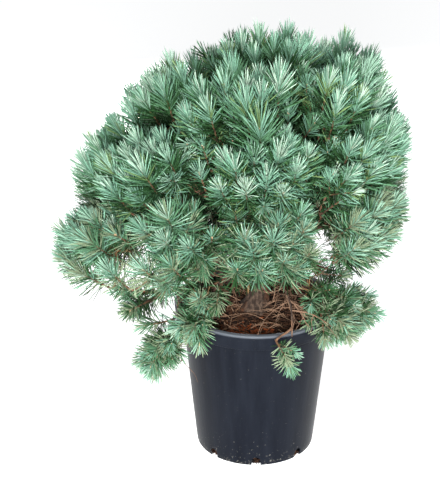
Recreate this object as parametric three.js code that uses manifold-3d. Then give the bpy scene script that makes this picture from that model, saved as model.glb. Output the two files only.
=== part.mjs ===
// A dwarf Scots pine with a low round crown, in its black nursery pot.
// Millimetres, +Z up. The origin is the middle of the pot's flat underside, and -Y is the side seen first.
//
// The trunk leaves the compost with a flared foot and runs up to a leader. Boughs leave it at rising
// heights, and each bough carries one mass of foliage: a stem that forks into twigs, each ending in a brush
// of needles.
import * as THREE from "three";
import { mergeVertices } from "three/addons/utils/BufferGeometryUtils.js";
import Module from "manifold-3d";

const wasm = await Module();
wasm.setup();

// Driving dimensions
const GAP = 0.3; // clearance between neighbouring solids
const WELD = 0.003; // corners of a joined solid closer than this become one
const MERGE = 0.001; // the same for the corners of a single piece

const POT = {
  height: 380,
  baseRadius: 145,
  bodyTopRadius: 183,
  rimRadius: 199,
  bandHeight: 38,
  bandTaper: 4,
  wall: 3.4,
  floor: 4,
  lipRound: 6,
  lipCrown: 1,
  footRound: 4,
  facets: 36,
};
// Arched holes at the foot of the wall, the first one at the front. Each is cut from inside the foot's
// edge outwards.
const DRAIN = { count: 8, width: 22, height: 24, first: 270, inside: 9, through: 24, archSegments: 4 };
const COMPOST = {
  edgeHeight: 352,
  shoulderHeight: 358,
  crestHeight: 362,
  shoulderRadius: 124,
  seatRadius: 62,
};
const TRUNK = {
  tipHeight: 872,
  footRadius: 27,
  tipRadius: 6.5,
  flare: 13,
  flareHeight: 46,
  flareLobes: 5,
  lobeDepth: 0.14,
  lobedRings: 2,
  sway: 11,
  depthSway: 6.6,
  tipShift: -14,
  rings: 9,
  ringSpread: 1.6, // over 1 sets the rings closer together at the foot
  sides: 10,
};
// The dome that the buds of the crown lie on. Its top leans to the right, its right side sits higher
// than its left, its front sits higher than its middle and its back lower, each by a share of the distance.
const CROWN = {
  centre: new THREE.Vector3(-44, -6, 570),
  halfWidth: 414,
  halfDepth: 356,
  rise: 488,
  lean: 0.16,
  roll: 0.1,
  frontNod: 0.21,
  backNod: 0.08,
  leftReach: 0.05,
  unevenness: 0.06,
};
// Rings of masses on the dome: the polar angle from its top, the azimuth of the first mass, the heights
// where their boughs leave the trunk, and how far the boughs go towards the buds. Neighbours in a ring
// leave the trunk some steps apart.
const TIERS = [
  { name: "lower", polar: 88, count: 8, first: 194, rootFrom: 596, rootTo: 484, radius: 9.5, share: 0.68 },
  { name: "middle", polar: 63, count: 7, first: 274, rootFrom: 620, rootTo: 700, radius: 8.5, share: 0.58 },
  { name: "upper", polar: 39, count: 5, first: 254, rootFrom: 722, rootTo: 812, radius: 7.5, share: 0.5 },
];
const STAGGER = 3;
const DOME_MASS = { shoots: 13, across: 136, upward: 80, shallowest: 0.94, stemShare: 0.4, sag: 0.07 };
// Low boughs that pass over the pot's rim and hang outside it: where the buds of each lie, how steeply
// they point down, how far they spread, and the height where the bough leaves the trunk.
const SKIRT = [
  { name: "left", azimuth: 194, reach: 336, height: 402, droop: 12, spread: 74, shoots: 9, root: 430 },
  { name: "left_low", azimuth: 212, reach: 312, height: 264, droop: 50, spread: 52, shoots: 5, root: 490 },
  { name: "front_left", azimuth: 228, reach: 254, height: 372, droop: 40, spread: 50, shoots: 7, root: 526 },
  { name: "front_sprig", azimuth: 290, reach: 232, height: 304, droop: 86, spread: 0, shoots: 1, root: 446 },
  { name: "front_right", azimuth: 322, reach: 258, height: 346, droop: 50, spread: 66, shoots: 7, root: 470 },
  { name: "right", azimuth: 345, reach: 284, height: 352, droop: 28, spread: 68, shoots: 7, root: 444 },
  { name: "back_right", azimuth: 46, reach: 296, height: 376, droop: 22, spread: 82, shoots: 8, root: 426 },
  { name: "back_left", azimuth: 124, reach: 300, height: 376, droop: 22, spread: 76, shoots: 8, root: 450 },
];
const SKIRT_BOUGH = { radius: 8, stem: 42, bend: 0.45 };
// A skirt mass spreads less upwards than sideways, and its buds lie up to a share of the spread behind.
const SKIRT_MASS = { flatness: 0.6, depth: 0.4, fan: 0.7 };
const BOUGH = { tipRadius: 4.6, rootShare: 0.72, rings: 4, sides: 5 };
const STEM = {
  rootRadius: 4.6,
  endRadius: 4.2,
  rings: 3,
  sides: 5,
  bend: 0.4,
  firstFork: 0.3,
  lastFork: 0.92,
};
// The solids have every second shoot of the rule, with needles larger than life to fill the crown.
const SHOOT = { everySecond: 2, length: 84, uplift: 0.9, wander: 0.2, twigRadius: 2.4, sunk: 0.35 };
// A brush's core has rings from its foot to its bud, and each face after a ring carries a bundle of needles.
const BRUSH = {
  rings: [
    { at: 0, radius: 3.4, angle: 64 },
    { at: 0.34, radius: 9.5, angle: 47 },
    { at: 0.74, radius: 8.5, angle: 22 },
  ],
  sides: 3,
  needle: 64,
  shortest: 0.88,
  longest: 1.04,
  cutShort: 0.6,
  jitter: 0.12,
  rootRadius: 5,
  tipRadius: 0.5,
  streamOffset: 32,
};
const SPACE = { cellMargin: 1, limbMargin: 1.5, potMargin: 4 };

const GOLDEN_ANGLE = Math.PI * (3 - Math.sqrt(5));
const SEED = 987; // every chance follows from it
const NEARLY_PARALLEL = 0.95; // a cosine past which a direction is too close to another to be squared to it
const X_AXIS = new THREE.Vector3(1, 0, 0);
const Y_AXIS = new THREE.Vector3(0, 1, 0);
const UP = new THREE.Vector3(0, 0, 1);
const radians = THREE.MathUtils.degToRad;

// Seeded random numbers, one stream for each mass and shoot, so that a shoot stays the same
// whatever else is grown.
function stream(mass, shoot = 0) {
  let state = Math.imul(mass * 64 + shoot + SEED, 2654435761) >>> 0;
  const next = () => {
    state = (Math.imul(state, 1664525) + 1013904223) >>> 0;
    return state / 4294967296;
  };
  next();
  return (low, high) => low + (high - low) * next();
}

// Solids and meshes
function solidOf(geometry) {
  const bare = geometry.clone();
  bare.deleteAttribute("normal");
  bare.deleteAttribute("uv");
  const merged = mergeVertices(bare, MERGE);
  return new wasm.Manifold(
    new wasm.Mesh({
      numProp: 3,
      vertProperties: new Float32Array(merged.attributes.position.array),
      triVerts: new Uint32Array(merged.index.array),
    }),
  );
}

// The largest body of a solid: a scrap that a cut leaves, or a hollow that a join seals, is dropped.
function largestBody(solid) {
  return solid.decompose().reduce((best, body) => (body.volume() > best.volume() ? body : best));
}

// A solid's geometry, with the corners that a join leaves all but touching welded to one, and the faces
// that this closes up left out.
function geometryOf(solid) {
  const { vertProperties, triVerts, numVert, numProp } = solid.getMesh();
  const spots = Array.from({ length: numVert }, (_, i) => {
    return new THREE.Vector3().fromArray(vertProperties, i * numProp);
  });
  const first = spots.map((spot) => spots.findIndex((other) => other.distanceTo(spot) < WELD));
  const faces = [];
  for (let i = 0; i < triVerts.length; i += 3) {
    const face = [...triVerts.slice(i, i + 3)].map((corner) => first[corner]);
    if (new Set(face).size === 3) faces.push(face);
  }
  const geometry = new THREE.BufferGeometry();
  geometry.setAttribute("position", new THREE.BufferAttribute(vertProperties, numProp));
  geometry.setIndex(faces.flat());
  geometry.computeVertexNormals();
  return geometry;
}

// The corners and faces of a closed tube along a line of points, with a radius for each and a heading that
// its ring is square to. A last radius of 0 closes it in a point. Each face names the ring that it starts
// from, and the end faces name none. Twist turns each ring on from the last, and profile scales its radius.
function tube({ points, radii, headings }, sides, { twist = 0, profile = () => 1 } = {}) {
  const corners = [];
  const faces = [];
  const last = points.length - 1;
  const pointed = radii[last] === 0;
  const side = X_AXIS.clone();
  points.forEach((point, ring) => {
    const before = points[Math.max(ring - 1, 0)];
    const after = points[Math.min(ring + 1, last)];
    const heading = headings ? headings[ring] : headingOf(before, after);
    if (Math.abs(side.dot(heading)) > NEARLY_PARALLEL) side.copy(Y_AXIS);
    side.addScaledVector(heading, -side.dot(heading)).normalize();
    const other = heading.clone().cross(side);
    if (pointed && ring === last) {
      corners.push(point.clone());
      return;
    }
    for (let corner = 0; corner < sides; corner++) {
      const angle = (2 * Math.PI * corner) / sides;
      const radius = radii[ring] * profile(ring, angle);
      const turned = angle + ring * twist;
      const spot = point.clone().addScaledVector(side, radius * Math.cos(turned));
      corners.push(spot.addScaledVector(other, radius * Math.sin(turned)));
    }
  });
  const top = last * sides;
  for (let ring = 0; ring < last; ring++) {
    for (let corner = 0; corner < sides; corner++) {
      const a = ring * sides + corner;
      const b = ring * sides + ((corner + 1) % sides);
      if (pointed && ring === last - 1) {
        faces.push({ ring, corners: [a, b, top] });
      } else {
        faces.push({ ring, corners: [a, b, a + sides] });
        faces.push({ ring, corners: [b, b + sides, a + sides] });
      }
    }
  }
  for (let corner = 1; corner < sides - 1; corner++) {
    faces.push({ corners: [0, corner + 1, corner] });
    if (!pointed) faces.push({ corners: [top, top + corner, top + corner + 1] });
  }
  return { corners, faces };
}

function meshOf({ corners, faces }) {
  const geometry = new THREE.BufferGeometry();
  const positions = corners.flatMap((corner) => corner.toArray());
  geometry.setAttribute("position", new THREE.Float32BufferAttribute(positions, 3));
  geometry.setIndex(faces.flatMap((face) => face.corners));
  return geometry;
}

// Places and curves
const polarPoint = (azimuth, radius, height) =>
  new THREE.Vector3(radius * Math.cos(radians(azimuth)), radius * Math.sin(radians(azimuth)), height);

const mix = (from, to, share) => from.clone().lerp(to, share);

const headingOf = (from, to) => to.clone().sub(from).normalize();

const along = (point, direction, distance) => point.clone().addScaledVector(direction, distance);

const bezier = (start, control, end) => new THREE.QuadraticBezierCurve3(start, control, end);

// Two directions square to an axis, the first one level.
function squareTo(axis) {
  const across = UP.clone().cross(axis);
  if (across.lengthSq() < 1e-6) across.copy(X_AXIS);
  across.normalize();
  return [across, axis.clone().cross(across)];
}

// Sunflower place number k of count, in a disc of radius 1.
function sunflower(k, count) {
  const radius = Math.sqrt((k + 0.5) / count);
  return [radius * Math.cos(k * GOLDEN_ANGLE), radius * Math.sin(k * GOLDEN_ANGLE)];
}

// The trunk's centre line: a slow sway, and a shift of the tip to one side.
function trunkPoint(height) {
  const share = (height - COMPOST.crestHeight) / (TRUNK.tipHeight - COMPOST.crestHeight);
  const x = TRUNK.tipShift * share + TRUNK.sway * Math.sin(2 * Math.PI * share);
  const y = TRUNK.depthSway * Math.sin(Math.PI * share) * Math.sin(3 * Math.PI * share);
  return new THREE.Vector3(x, y, height);
}

const trunkHeading = (height) => headingOf(trunkPoint(height - 1), trunkPoint(height));

function trunkRadius(height) {
  const rise = height - COMPOST.crestHeight;
  const share = Math.max(rise / (TRUNK.tipHeight - COMPOST.crestHeight), 0);
  const straight = THREE.MathUtils.lerp(TRUNK.footRadius, TRUNK.tipRadius, share);
  return straight + TRUNK.flare * Math.exp((-3 * rise) / TRUNK.flareHeight);
}

const DOME_SIZE = new THREE.Vector3(CROWN.halfWidth, CROWN.halfDepth, CROWN.rise);

function domePoint(direction, stretch) {
  const { x, y, z } = DOME_SIZE.clone().multiply(direction).multiplyScalar(stretch);
  const nod = y < 0 ? CROWN.frontNod : CROWN.backNod;
  return new THREE.Vector3(x + CROWN.lean * z, y, z + CROWN.roll * x - nod * y).add(CROWN.centre);
}

const domeNormal = (direction) => direction.clone().divide(DOME_SIZE).normalize();

// The shoots of a mass on the dome: each has the place of its bud and the way it points.
function domeShoots(mass) {
  const [across, upward] = squareTo(mass.direction);
  const meanRadius = (CROWN.halfWidth + CROWN.rise) / 2;
  return Array.from({ length: DOME_MASS.shoots }, (_, k) => {
    const random = stream(mass.number, k);
    const [u, v] = sunflower(k, DOME_MASS.shoots);
    const direction = along(mass.direction, across, (u * DOME_MASS.across) / meanRadius);
    direction.addScaledVector(upward, (v * DOME_MASS.upward) / meanRadius).normalize();
    const bud = domePoint(direction, mass.stretch * random(DOME_MASS.shallowest, 1));
    const points = domeNormal(direction).addScaledVector(UP, SHOOT.uplift);
    points.x += random(-SHOOT.wander, SHOOT.wander);
    points.y += random(-SHOOT.wander, SHOOT.wander);
    return { number: k, bud, points: points.normalize(), share: Math.hypot(u, v) };
  });
}

// The shoots of a mass that hangs outside the pot, fanned about the way the mass droops.
function skirtShoots(mass) {
  const { spread, shoots } = mass.plan;
  const [across, upward] = squareTo(mass.axis);
  return Array.from({ length: shoots }, (_, k) => {
    const random = stream(mass.number, k);
    const [u, round] = sunflower(k, shoots);
    const v = round * SKIRT_MASS.flatness;
    const bud = along(along(mass.middle, across, u * spread), upward, v * spread);
    bud.addScaledVector(mass.axis, random(-SKIRT_MASS.depth, 0) * spread);
    const points = along(along(mass.axis, across, SKIRT_MASS.fan * u), upward, SKIRT_MASS.fan * v);
    return { number: k, bud, points: points.normalize(), share: Math.hypot(u, round) };
  });
}

// The line of a limb along a curve, with its radius running from one value to another.
function limb(curve, fromRadius, toRadius, rings) {
  const shares = Array.from({ length: rings }, (_, ring) => ring / (rings - 1));
  const points = shares.map((share) => curve.getPoint(share));
  const headings = shares.map((share) => curve.getTangent(share));
  const radii = shares.map((share) => THREE.MathUtils.lerp(fromRadius, toRadius, share));
  return { points, radii, headings, curve };
}

// A bough's root is slimmer than the trunk that it leaves.
function boughBetween(rootHeight, control, tip, radius) {
  const slim = Math.min(radius, BOUGH.rootShare * trunkRadius(rootHeight));
  return limb(bezier(trunkPoint(rootHeight), control, tip), slim, BOUGH.tipRadius, BOUGH.rings);
}

// The stem of a mass starts where its bough ends, and bends on towards the shoots.
function stemAfter(tip, heading, target) {
  const start = along(tip, heading, GAP);
  const control = along(start, heading, STEM.bend * start.distanceTo(target));
  return limb(bezier(start, control, target), STEM.rootRadius, STEM.endRadius, STEM.rings);
}

function domeMass(number, name, polar, azimuth) {
  const random = stream(number);
  const direction = polarPoint(azimuth, Math.sin(radians(polar)), Math.cos(radians(polar)));
  const low = Math.sin(radians(polar)) ** 2;
  const left = -Math.cos(radians(azimuth));
  const stretch = 1 + CROWN.leftReach * low * left + random(-1, 1) * CROWN.unevenness;
  const mass = { number, name, direction, stretch };
  mass.shoots = domeShoots(mass);
  return mass;
}

function topMass() {
  const mass = domeMass(0, "top", 0, 0);
  const tip = trunkPoint(TRUNK.tipHeight);
  const target = mix(tip, domePoint(mass.direction, mass.stretch), DOME_MASS.stemShare);
  mass.stem = stemAfter(tip, trunkHeading(TRUNK.tipHeight), target);
  return mass;
}

function tierMass(number, tier, index) {
  const azimuth = tier.first + (360 * index) / tier.count;
  const mass = domeMass(number, tier.name + "_" + (index + 1), tier.polar, azimuth);
  const rootHeight = staggered(tier.rootFrom, tier.rootTo, index, tier.count);
  const root = trunkPoint(rootHeight);
  const target = domePoint(mass.direction, mass.stretch);
  const tip = mix(root, target, tier.share);
  const control = along(mix(root, tip, 0.5), UP, -DOME_MASS.sag * root.distanceTo(target));
  mass.bough = boughBetween(rootHeight, control, tip, tier.radius);
  mass.stem = stemAfter(tip, headingOf(control, tip), mix(tip, target, DOME_MASS.stemShare));
  return mass;
}

// A skirt bough bends over the rim and ends behind its shoots, in line with the way they droop.
function skirtMass(number, plan) {
  const droop = radians(plan.droop);
  const mass = { number, name: plan.name, plan };
  mass.axis = polarPoint(plan.azimuth, Math.cos(droop), -Math.sin(droop));
  mass.middle = polarPoint(plan.azimuth, plan.reach, plan.height);
  mass.shoots = skirtShoots(mass);
  const fork = along(mass.middle, mass.axis, -SHOOT.length);
  const tip = along(fork, mass.axis, -SKIRT_BOUGH.stem);
  const control = along(tip, mass.axis, -SKIRT_BOUGH.bend * tip.distanceTo(trunkPoint(plan.root)));
  mass.bough = boughBetween(plan.root, control, tip, SKIRT_BOUGH.radius);
  mass.stem = stemAfter(tip, mass.axis, fork);
  return mass;
}

// Heights spread over a range, so that neighbours round the trunk are far apart.
function staggered(from, to, index, count) {
  return THREE.MathUtils.lerp(from, to, ((index * STAGGER) % count) / (count - 1));
}

function planMasses() {
  const masses = [topMass()];
  for (const tier of TIERS) {
    for (let index = 0; index < tier.count; index++) masses.push(tierMass(masses.length, tier, index));
  }
  for (const plan of SKIRT) masses.push(skirtMass(masses.length, plan));
  for (const mass of masses) mass.heart = heartOf(mass);
  return masses;
}

// The middle of a mass's shoots, from which its space is measured.
function heartOf(mass) {
  const heart = new THREE.Vector3();
  for (const { bud, points } of mass.shoots) heart.add(along(bud, points, -SHOOT.length / 2));
  return heart.divideScalar(mass.shoots.length);
}

// A point is in a mass's space if it is nearer to that mass's heart than to any other, by a margin.
function inSpace({ mass, masses }, point, margin) {
  return masses.every((other) => {
    if (other === mass) return true;
    const distance = mass.heart.distanceTo(other.heart);
    const towards = point.clone().sub(mass.heart).dot(headingOf(mass.heart, other.heart));
    return towards < distance / 2 - margin;
  });
}

function clearOfPot(point, margin) {
  if (point.z > POT.height + margin) return true;
  const bandFoot = POT.height - POT.bandHeight - margin;
  const outline = point.z > bandFoot ? POT.rimRadius : wallRadius(Math.max(point.z, 0));
  return Math.hypot(point.x, point.y) > outline + margin;
}

// The clear distance between two tapered pieces, by samples along the first set against the second.
function clearance(piece, other) {
  const line = new THREE.Line3(other.a, other.b);
  const samples = 10;
  const gaps = Array.from({ length: samples + 1 }, (_, i) => {
    const share = i / samples;
    const point = mix(piece.a, piece.b, share);
    const near = line.closestPointToPointParameter(point, true);
    const ownRadius = THREE.MathUtils.lerp(piece.ra, piece.rb, share);
    const otherRadius = THREE.MathUtils.lerp(other.ra, other.rb, near);
    return line.at(near, new THREE.Vector3()).distanceTo(point) - ownRadius - otherRadius;
  });
  return Math.min(...gaps);
}

// The tapered pieces that a limb is made of.
const piecesOf = ({ points, radii }) =>
  points.slice(1).map((b, i) => ({ a: points[i], b, ra: radii[i], rb: radii[i + 1] }));

// True if a tapered piece stays in the mass's space, clear of the pot and of the other pieces there.
function fits(place, piece, obstacles) {
  const { a, b, ra, rb } = piece;
  return (
    inSpace(place, a, ra + SPACE.cellMargin) &&
    inSpace(place, b, rb + SPACE.cellMargin) &&
    [a, mix(a, b, 0.5), b].every((point) => clearOfPot(point, ra + SPACE.potMargin)) &&
    obstacles.every((other) => clearance(piece, other) > SPACE.limbMargin)
  );
}

// A twig leaves the stem, the wide shoots first, and goes on as the core of the brush up to its bud.
function shootLine(mass, shoot) {
  const foot = along(shoot.bud, shoot.points, -SHOOT.length);
  const fork = mass.stem.curve.getPoint(THREE.MathUtils.lerp(STEM.lastFork, STEM.firstFork, shoot.share));
  const points = [fork];
  const radii = [SHOOT.twigRadius];
  for (const ring of BRUSH.rings) {
    points.push(mix(foot, shoot.bud, ring.at));
    radii.push(ring.radius);
  }
  return { points: [...points, shoot.bud], radii: [...radii, 0] };
}

// Where the bundle of needles on a face of the core ends, or nothing where even a short one doesn't fit.
function needleTip(place, shoot, face, corners, angle, random) {
  const middle = new THREE.Vector3();
  for (const corner of face.corners) middle.addScaledVector(corners[corner], 1 / 3);
  const outward = middle.clone().sub(shoot.bud);
  outward.addScaledVector(shoot.points, -outward.dot(shoot.points)).normalize();
  const lean = radians(angle) + random(-BRUSH.jitter, BRUSH.jitter);
  const direction = shoot.points.clone().multiplyScalar(Math.cos(lean));
  direction.addScaledVector(outward, Math.sin(lean));
  const length = BRUSH.needle * random(BRUSH.shortest, BRUSH.longest);
  const a = along(middle, direction, BRUSH.rootRadius);
  const bundles = [length, length * BRUSH.cutShort].map((reach) => {
    return { a, b: along(middle, direction, reach), ra: BRUSH.rootRadius, rb: BRUSH.tipRadius };
  });
  const others = place.grown.filter((piece) => piece.shoot !== shoot);
  const bundle = bundles.find((one) => fits(place, one, [...place.obstacles, ...others]));
  if (!bundle) return undefined;
  place.grown.push({ ...bundle, shoot });
  return bundle.b;
}

// A shoot's twig and core, with the faces of the core raised to bundles of needles. Each ring of the core
// is turned half a side on from the last.
function growShoot(place, shoot) {
  const random = stream(place.mass.number, shoot.number + BRUSH.streamOffset);
  const { corners, faces } = tube(shoot.line, BRUSH.sides, { twist: Math.PI / BRUSH.sides });
  const firstRing = shoot.line.points.length - 1 - BRUSH.rings.length;
  const needled = faces.flatMap((face) => {
    const ring = BRUSH.rings[face.ring - firstRing];
    const tip = ring && needleTip(place, shoot, face, corners, ring.angle, random);
    if (!tip) return [face];
    const [a, b, c] = face.corners;
    const apex = corners.push(tip) - 1;
    return [{ corners: [a, b, apex] }, { corners: [b, c, apex] }, { corners: [c, a, apex] }];
  });
  return solidOf(meshOf({ corners, faces: needled }));
}

// The pieces of a shoot, without the part of its twig that is sunk in the stem.
function shootPieces(shoot) {
  const pieces = piecesOf(shoot.line);
  pieces[0].a = mix(pieces[0].a, pieces[0].b, SHOOT.sunk);
  return pieces;
}

// Grows the shoots that fit in the mass's space, then the needles on each, clear of one another.
function growMass(mass, masses, limbs) {
  const stem = solidOf(meshOf(tube(mass.stem, STEM.sides)));
  const otherStems = masses.filter((other) => other !== mass).map((other) => other.stem);
  const obstacles = [...limbs, ...otherStems].flatMap(piecesOf);
  const place = { mass, masses, obstacles, grown: [] };
  const shoots = mass.shoots.filter((shoot) => {
    if (shoot.number % SHOOT.everySecond !== 0) return false;
    shoot.line = shootLine(mass, shoot);
    const pieces = shootPieces(shoot);
    if (!pieces.every((piece) => fits(place, piece, obstacles))) return false;
    place.grown.push(...pieces.map((piece) => ({ ...piece, shoot })));
    return true;
  });
  const grown = shoots.map((shoot) => growShoot(place, shoot));
  return largestBody(grown.reduce((whole, piece) => whole.add(piece), stem));
}

// Turns an outline of (radius, height) pairs about the pot's axis.
function turned(outline) {
  const profile = outline.map(([radius, height]) => new THREE.Vector2(radius, height));
  return new THREE.LatheGeometry(profile, POT.facets).rotateX(Math.PI / 2);
}

// The wall's outer radius at a height, without the rim.
const wallRadius = (height) =>
  THREE.MathUtils.mapLinear(height, 0, POT.height, POT.baseRadius, POT.bodyTopRadius);

function potSolid() {
  const { height, wall, floor, lipRound, lipCrown, footRound, bandTaper, rimRadius } = POT;
  const bandFoot = height - POT.bandHeight;
  const outline = [
    [0, 0],
    [wallRadius(0) - footRound, 0],
    [wallRadius(footRound), footRound],
    [wallRadius(height - lipRound), height - lipRound],
    [rimRadius - wall, height - lipRound],
    [rimRadius - wall - bandTaper, bandFoot],
    [rimRadius - bandTaper, bandFoot],
    [rimRadius, height - lipRound],
    [rimRadius - lipRound / 2, height - lipCrown],
    [rimRadius - lipRound, height],
    [wallRadius(height) + lipRound / 2, height],
    [wallRadius(height) - wall, height - lipRound],
    [wallRadius(floor) - wall, floor],
    [0, floor],
  ];
  let pot = solidOf(turned(outline));
  for (let i = 0; i < DRAIN.count; i++) {
    pot = pot.subtract(drainCutter(DRAIN.first + (360 * i) / DRAIN.count));
  }
  return pot;
}

// An arched hole at the foot of the wall.
function drainCutter(azimuth) {
  const half = DRAIN.width / 2;
  const spring = DRAIN.height - half;
  const arch = new THREE.Shape();
  arch.moveTo(-half, -1);
  arch.lineTo(half, -1);
  arch.lineTo(half, spring);
  arch.absarc(0, spring, half, 0, Math.PI);
  arch.lineTo(-half, -1);
  const options = { depth: DRAIN.through, bevelEnabled: false, curveSegments: DRAIN.archSegments };
  const cutter = new THREE.ExtrudeGeometry(arch, options);
  cutter.rotateX(Math.PI / 2).rotateZ(Math.PI / 2);
  cutter.translate(POT.baseRadius - DRAIN.inside, 0, 0).rotateZ(radians(azimuth));
  return solidOf(cutter);
}

// The compost fills the pot, with a level seat in its middle for the trunk.
function compostSolid() {
  const inner = (height) => wallRadius(height) - POT.wall - GAP;
  const foot = POT.floor + GAP;
  return solidOf(
    turned([
      [0, foot],
      [inner(foot), foot],
      [inner(COMPOST.edgeHeight), COMPOST.edgeHeight],
      [COMPOST.shoulderRadius, COMPOST.shoulderHeight],
      [COMPOST.seatRadius, COMPOST.crestHeight],
      [0, COMPOST.crestHeight],
    ]),
  );
}

// The trunk, or the same shape grown by extra for cutting the boughs back to it.
function trunkTube(extra = 0) {
  const foot = COMPOST.crestHeight + GAP - extra;
  const heights = Array.from({ length: TRUNK.rings }, (_, ring) => {
    return THREE.MathUtils.lerp(foot, TRUNK.tipHeight, (ring / (TRUNK.rings - 1)) ** TRUNK.ringSpread);
  });
  const points = heights.map(trunkPoint);
  const radii = heights.map((height) => trunkRadius(height) + extra);
  const headings = heights.map((height, ring) => (ring === 0 ? UP : trunkHeading(height)));
  const line = { points, radii, headings };
  const profile = (ring, angle) => {
    return ring < TRUNK.lobedRings ? 1 + TRUNK.lobeDepth * Math.cos(TRUNK.flareLobes * angle) : 1;
  };
  return { ...line, solid: solidOf(meshOf(tube(line, TRUNK.sides, { profile }))) };
}

// The whole plant
const colours = {
  pot: { color: 0x2b3038, roughness: 0.5, metalness: 0 },
  compost: { color: 0x3a2015, roughness: 1, metalness: 0 },
  bark: { color: 0x6e5545, roughness: 0.9, metalness: 0 },
  needles: { color: 0x5d9480, roughness: 0.6, metalness: 0 },
};
const materials = Object.fromEntries(
  Object.entries(colours).map(([name, look]) => [name, new THREE.MeshStandardMaterial(look)]),
);

function addMesh(group, name, solid, material) {
  const mesh = new THREE.Mesh(geometryOf(solid), materials[material]);
  mesh.name = name;
  group.add(mesh);
}

const plant = new THREE.Group();
const limbsGroup = new THREE.Group();
const foliageGroup = new THREE.Group();
plant.add(limbsGroup, foliageGroup);

addMesh(plant, "pot", potSolid(), "pot");
addMesh(plant, "compost", compostSolid(), "compost");

const trunk = trunkTube();
addMesh(limbsGroup, "trunk", trunk.solid, "bark");

const masses = planMasses();
const boughed = masses.filter((mass) => mass.bough);
const trunkWithGap = trunkTube(GAP).solid;
for (const { name, bough } of boughed) {
  const whole = solidOf(meshOf(tube(bough, BOUGH.sides)));
  addMesh(limbsGroup, "bough_" + name, largestBody(whole.subtract(trunkWithGap)), "bark");
}

const limbs = [trunk, ...boughed.map((mass) => mass.bough)];
for (const mass of masses) {
  addMesh(foliageGroup, "needles_" + mass.name, growMass(mass, masses, limbs), "needles");
}

export default plant;
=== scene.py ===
# %% [markdown]
# # A dwarf Scots pine in a black nursery pot
# The plant is a young grafted pine, about a metre high with its pot. Its trunk is short, and boughs leave
# it all the way up. Each bough forks into shoots, and each shoot is a brush of stiff blue-green needles in
# pairs. The limbs and shoots are worked out here by the rule that also shapes the plain solids of this
# part, so the fine plant keeps to their outline. Blender works in metres, while the plan is in millimetres.

# %% Setup
import math

import bpy
import numpy as np
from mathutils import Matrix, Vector, noise


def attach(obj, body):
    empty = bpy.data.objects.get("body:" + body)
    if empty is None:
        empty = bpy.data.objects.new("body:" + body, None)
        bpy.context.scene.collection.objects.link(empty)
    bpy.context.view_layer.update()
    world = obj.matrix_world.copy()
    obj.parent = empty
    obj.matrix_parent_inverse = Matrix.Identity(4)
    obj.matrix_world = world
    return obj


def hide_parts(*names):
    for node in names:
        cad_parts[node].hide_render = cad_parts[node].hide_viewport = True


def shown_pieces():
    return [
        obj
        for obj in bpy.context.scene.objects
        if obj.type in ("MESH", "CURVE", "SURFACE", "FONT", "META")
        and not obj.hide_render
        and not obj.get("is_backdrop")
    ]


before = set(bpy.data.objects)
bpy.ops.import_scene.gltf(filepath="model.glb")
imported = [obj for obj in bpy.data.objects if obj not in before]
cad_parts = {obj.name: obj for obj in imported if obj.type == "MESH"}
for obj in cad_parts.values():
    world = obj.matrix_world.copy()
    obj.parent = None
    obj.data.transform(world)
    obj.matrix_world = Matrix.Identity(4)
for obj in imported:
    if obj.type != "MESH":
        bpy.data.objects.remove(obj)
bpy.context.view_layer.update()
node_names = sorted(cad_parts)
needle_nodes = [name for name in node_names if name.startswith("needles_")]
limb_nodes = [name for name in node_names if name == "trunk" or name.startswith("bough_")]
MM = 0.001
print(len(needle_nodes), "masses of foliage and", len(limb_nodes), "limbs stand in the solids")

# %% [markdown]
# ## Sizes
# The pot is a 30-litre nursery container. The crown is a dome: its buds lie on an uneven half ellipsoid
# whose top leans to one side. Two more rings of masses lie inside its outline, and low boughs hang over the
# rim.

# %% Sizes of the pot and the trunk
POT = {
    "height": 380,
    "base_radius": 145,
    "body_top_radius": 183,
    "rim_radius": 199,
    "band_height": 38,
    "band_taper": 4,
    "wall": 3.4,
    "floor": 4,
    "lip_height": 6,
    "lip_round": 3.6,
    "band_round": 1.6,
    "inner_round": 4,
    "foot_round": 4,
    "hole_count": 8,
    "hole_width": 22,
    "hole_height": 24,
}
COMPOST = {"edge_height": 352, "crest_height": 362, "bed_depth": 60}
TRUNK = {
    "tip_height": 872,
    "foot_radius": 27,
    "tip_radius": 6.5,
    "flare": 13,
    "flare_height": 46,
    "lobes": 5,
    "lobe_depth": 0.14,
    "sway": 11,
    "depth_sway": 6.6,
    "tip_shift": -14,
}
print("the pot is", POT["height"], "mm high and", 2 * POT["rim_radius"], "mm across its rim")

# %% Sizes of the crown
CROWN = {"centre": (-44, -6, 570), "size": (414, 356, 488), "lean": 0.16, "roll": 0.1, "nod": (0.21, 0.08)}
UNEVEN = {"left_reach": 0.05, "stretch": 0.06}
# Angle from the top, number of masses, azimuth of the first, heights of the lowest and highest root, radius
# of a bough at its root, and how far along the way to the middle of its mass the bough goes.
TIERS = {
    "lower": (88, 8, 194, (596, 484), 9.5, 0.68),
    "middle": (63, 7, 274, (620, 700), 8.5, 0.58),
    "upper": (39, 5, 254, (722, 812), 7.5, 0.5),
}
STAGGER = 3
DOME_MASS = {"shoots": 13, "across": 136, "upward": 80, "shallowest": 0.94, "stem_share": 0.4, "sag": 0.07}
# Azimuth, reach and height of the middle of the buds, droop, spread, number of shoots, height of the root.
SKIRT = {
    "left": (194, 336, 402, 12, 74, 9, 430),
    "left_low": (212, 312, 264, 50, 52, 5, 490),
    "front_left": (228, 254, 372, 40, 50, 7, 526),
    "front_sprig": (290, 232, 304, 86, 0, 1, 446),
    "front_right": (322, 258, 346, 50, 66, 7, 470),
    "right": (345, 284, 352, 28, 68, 7, 444),
    "back_right": (46, 296, 376, 22, 82, 8, 426),
    "back_left": (124, 300, 376, 22, 76, 8, 450),
}
SKIRT_BOUGH = {"radius": 8, "stem": 42, "bend": 0.45}
SKIRT_MASS = {"flatness": 0.6, "depth": 0.4, "fan": 0.7}
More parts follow.
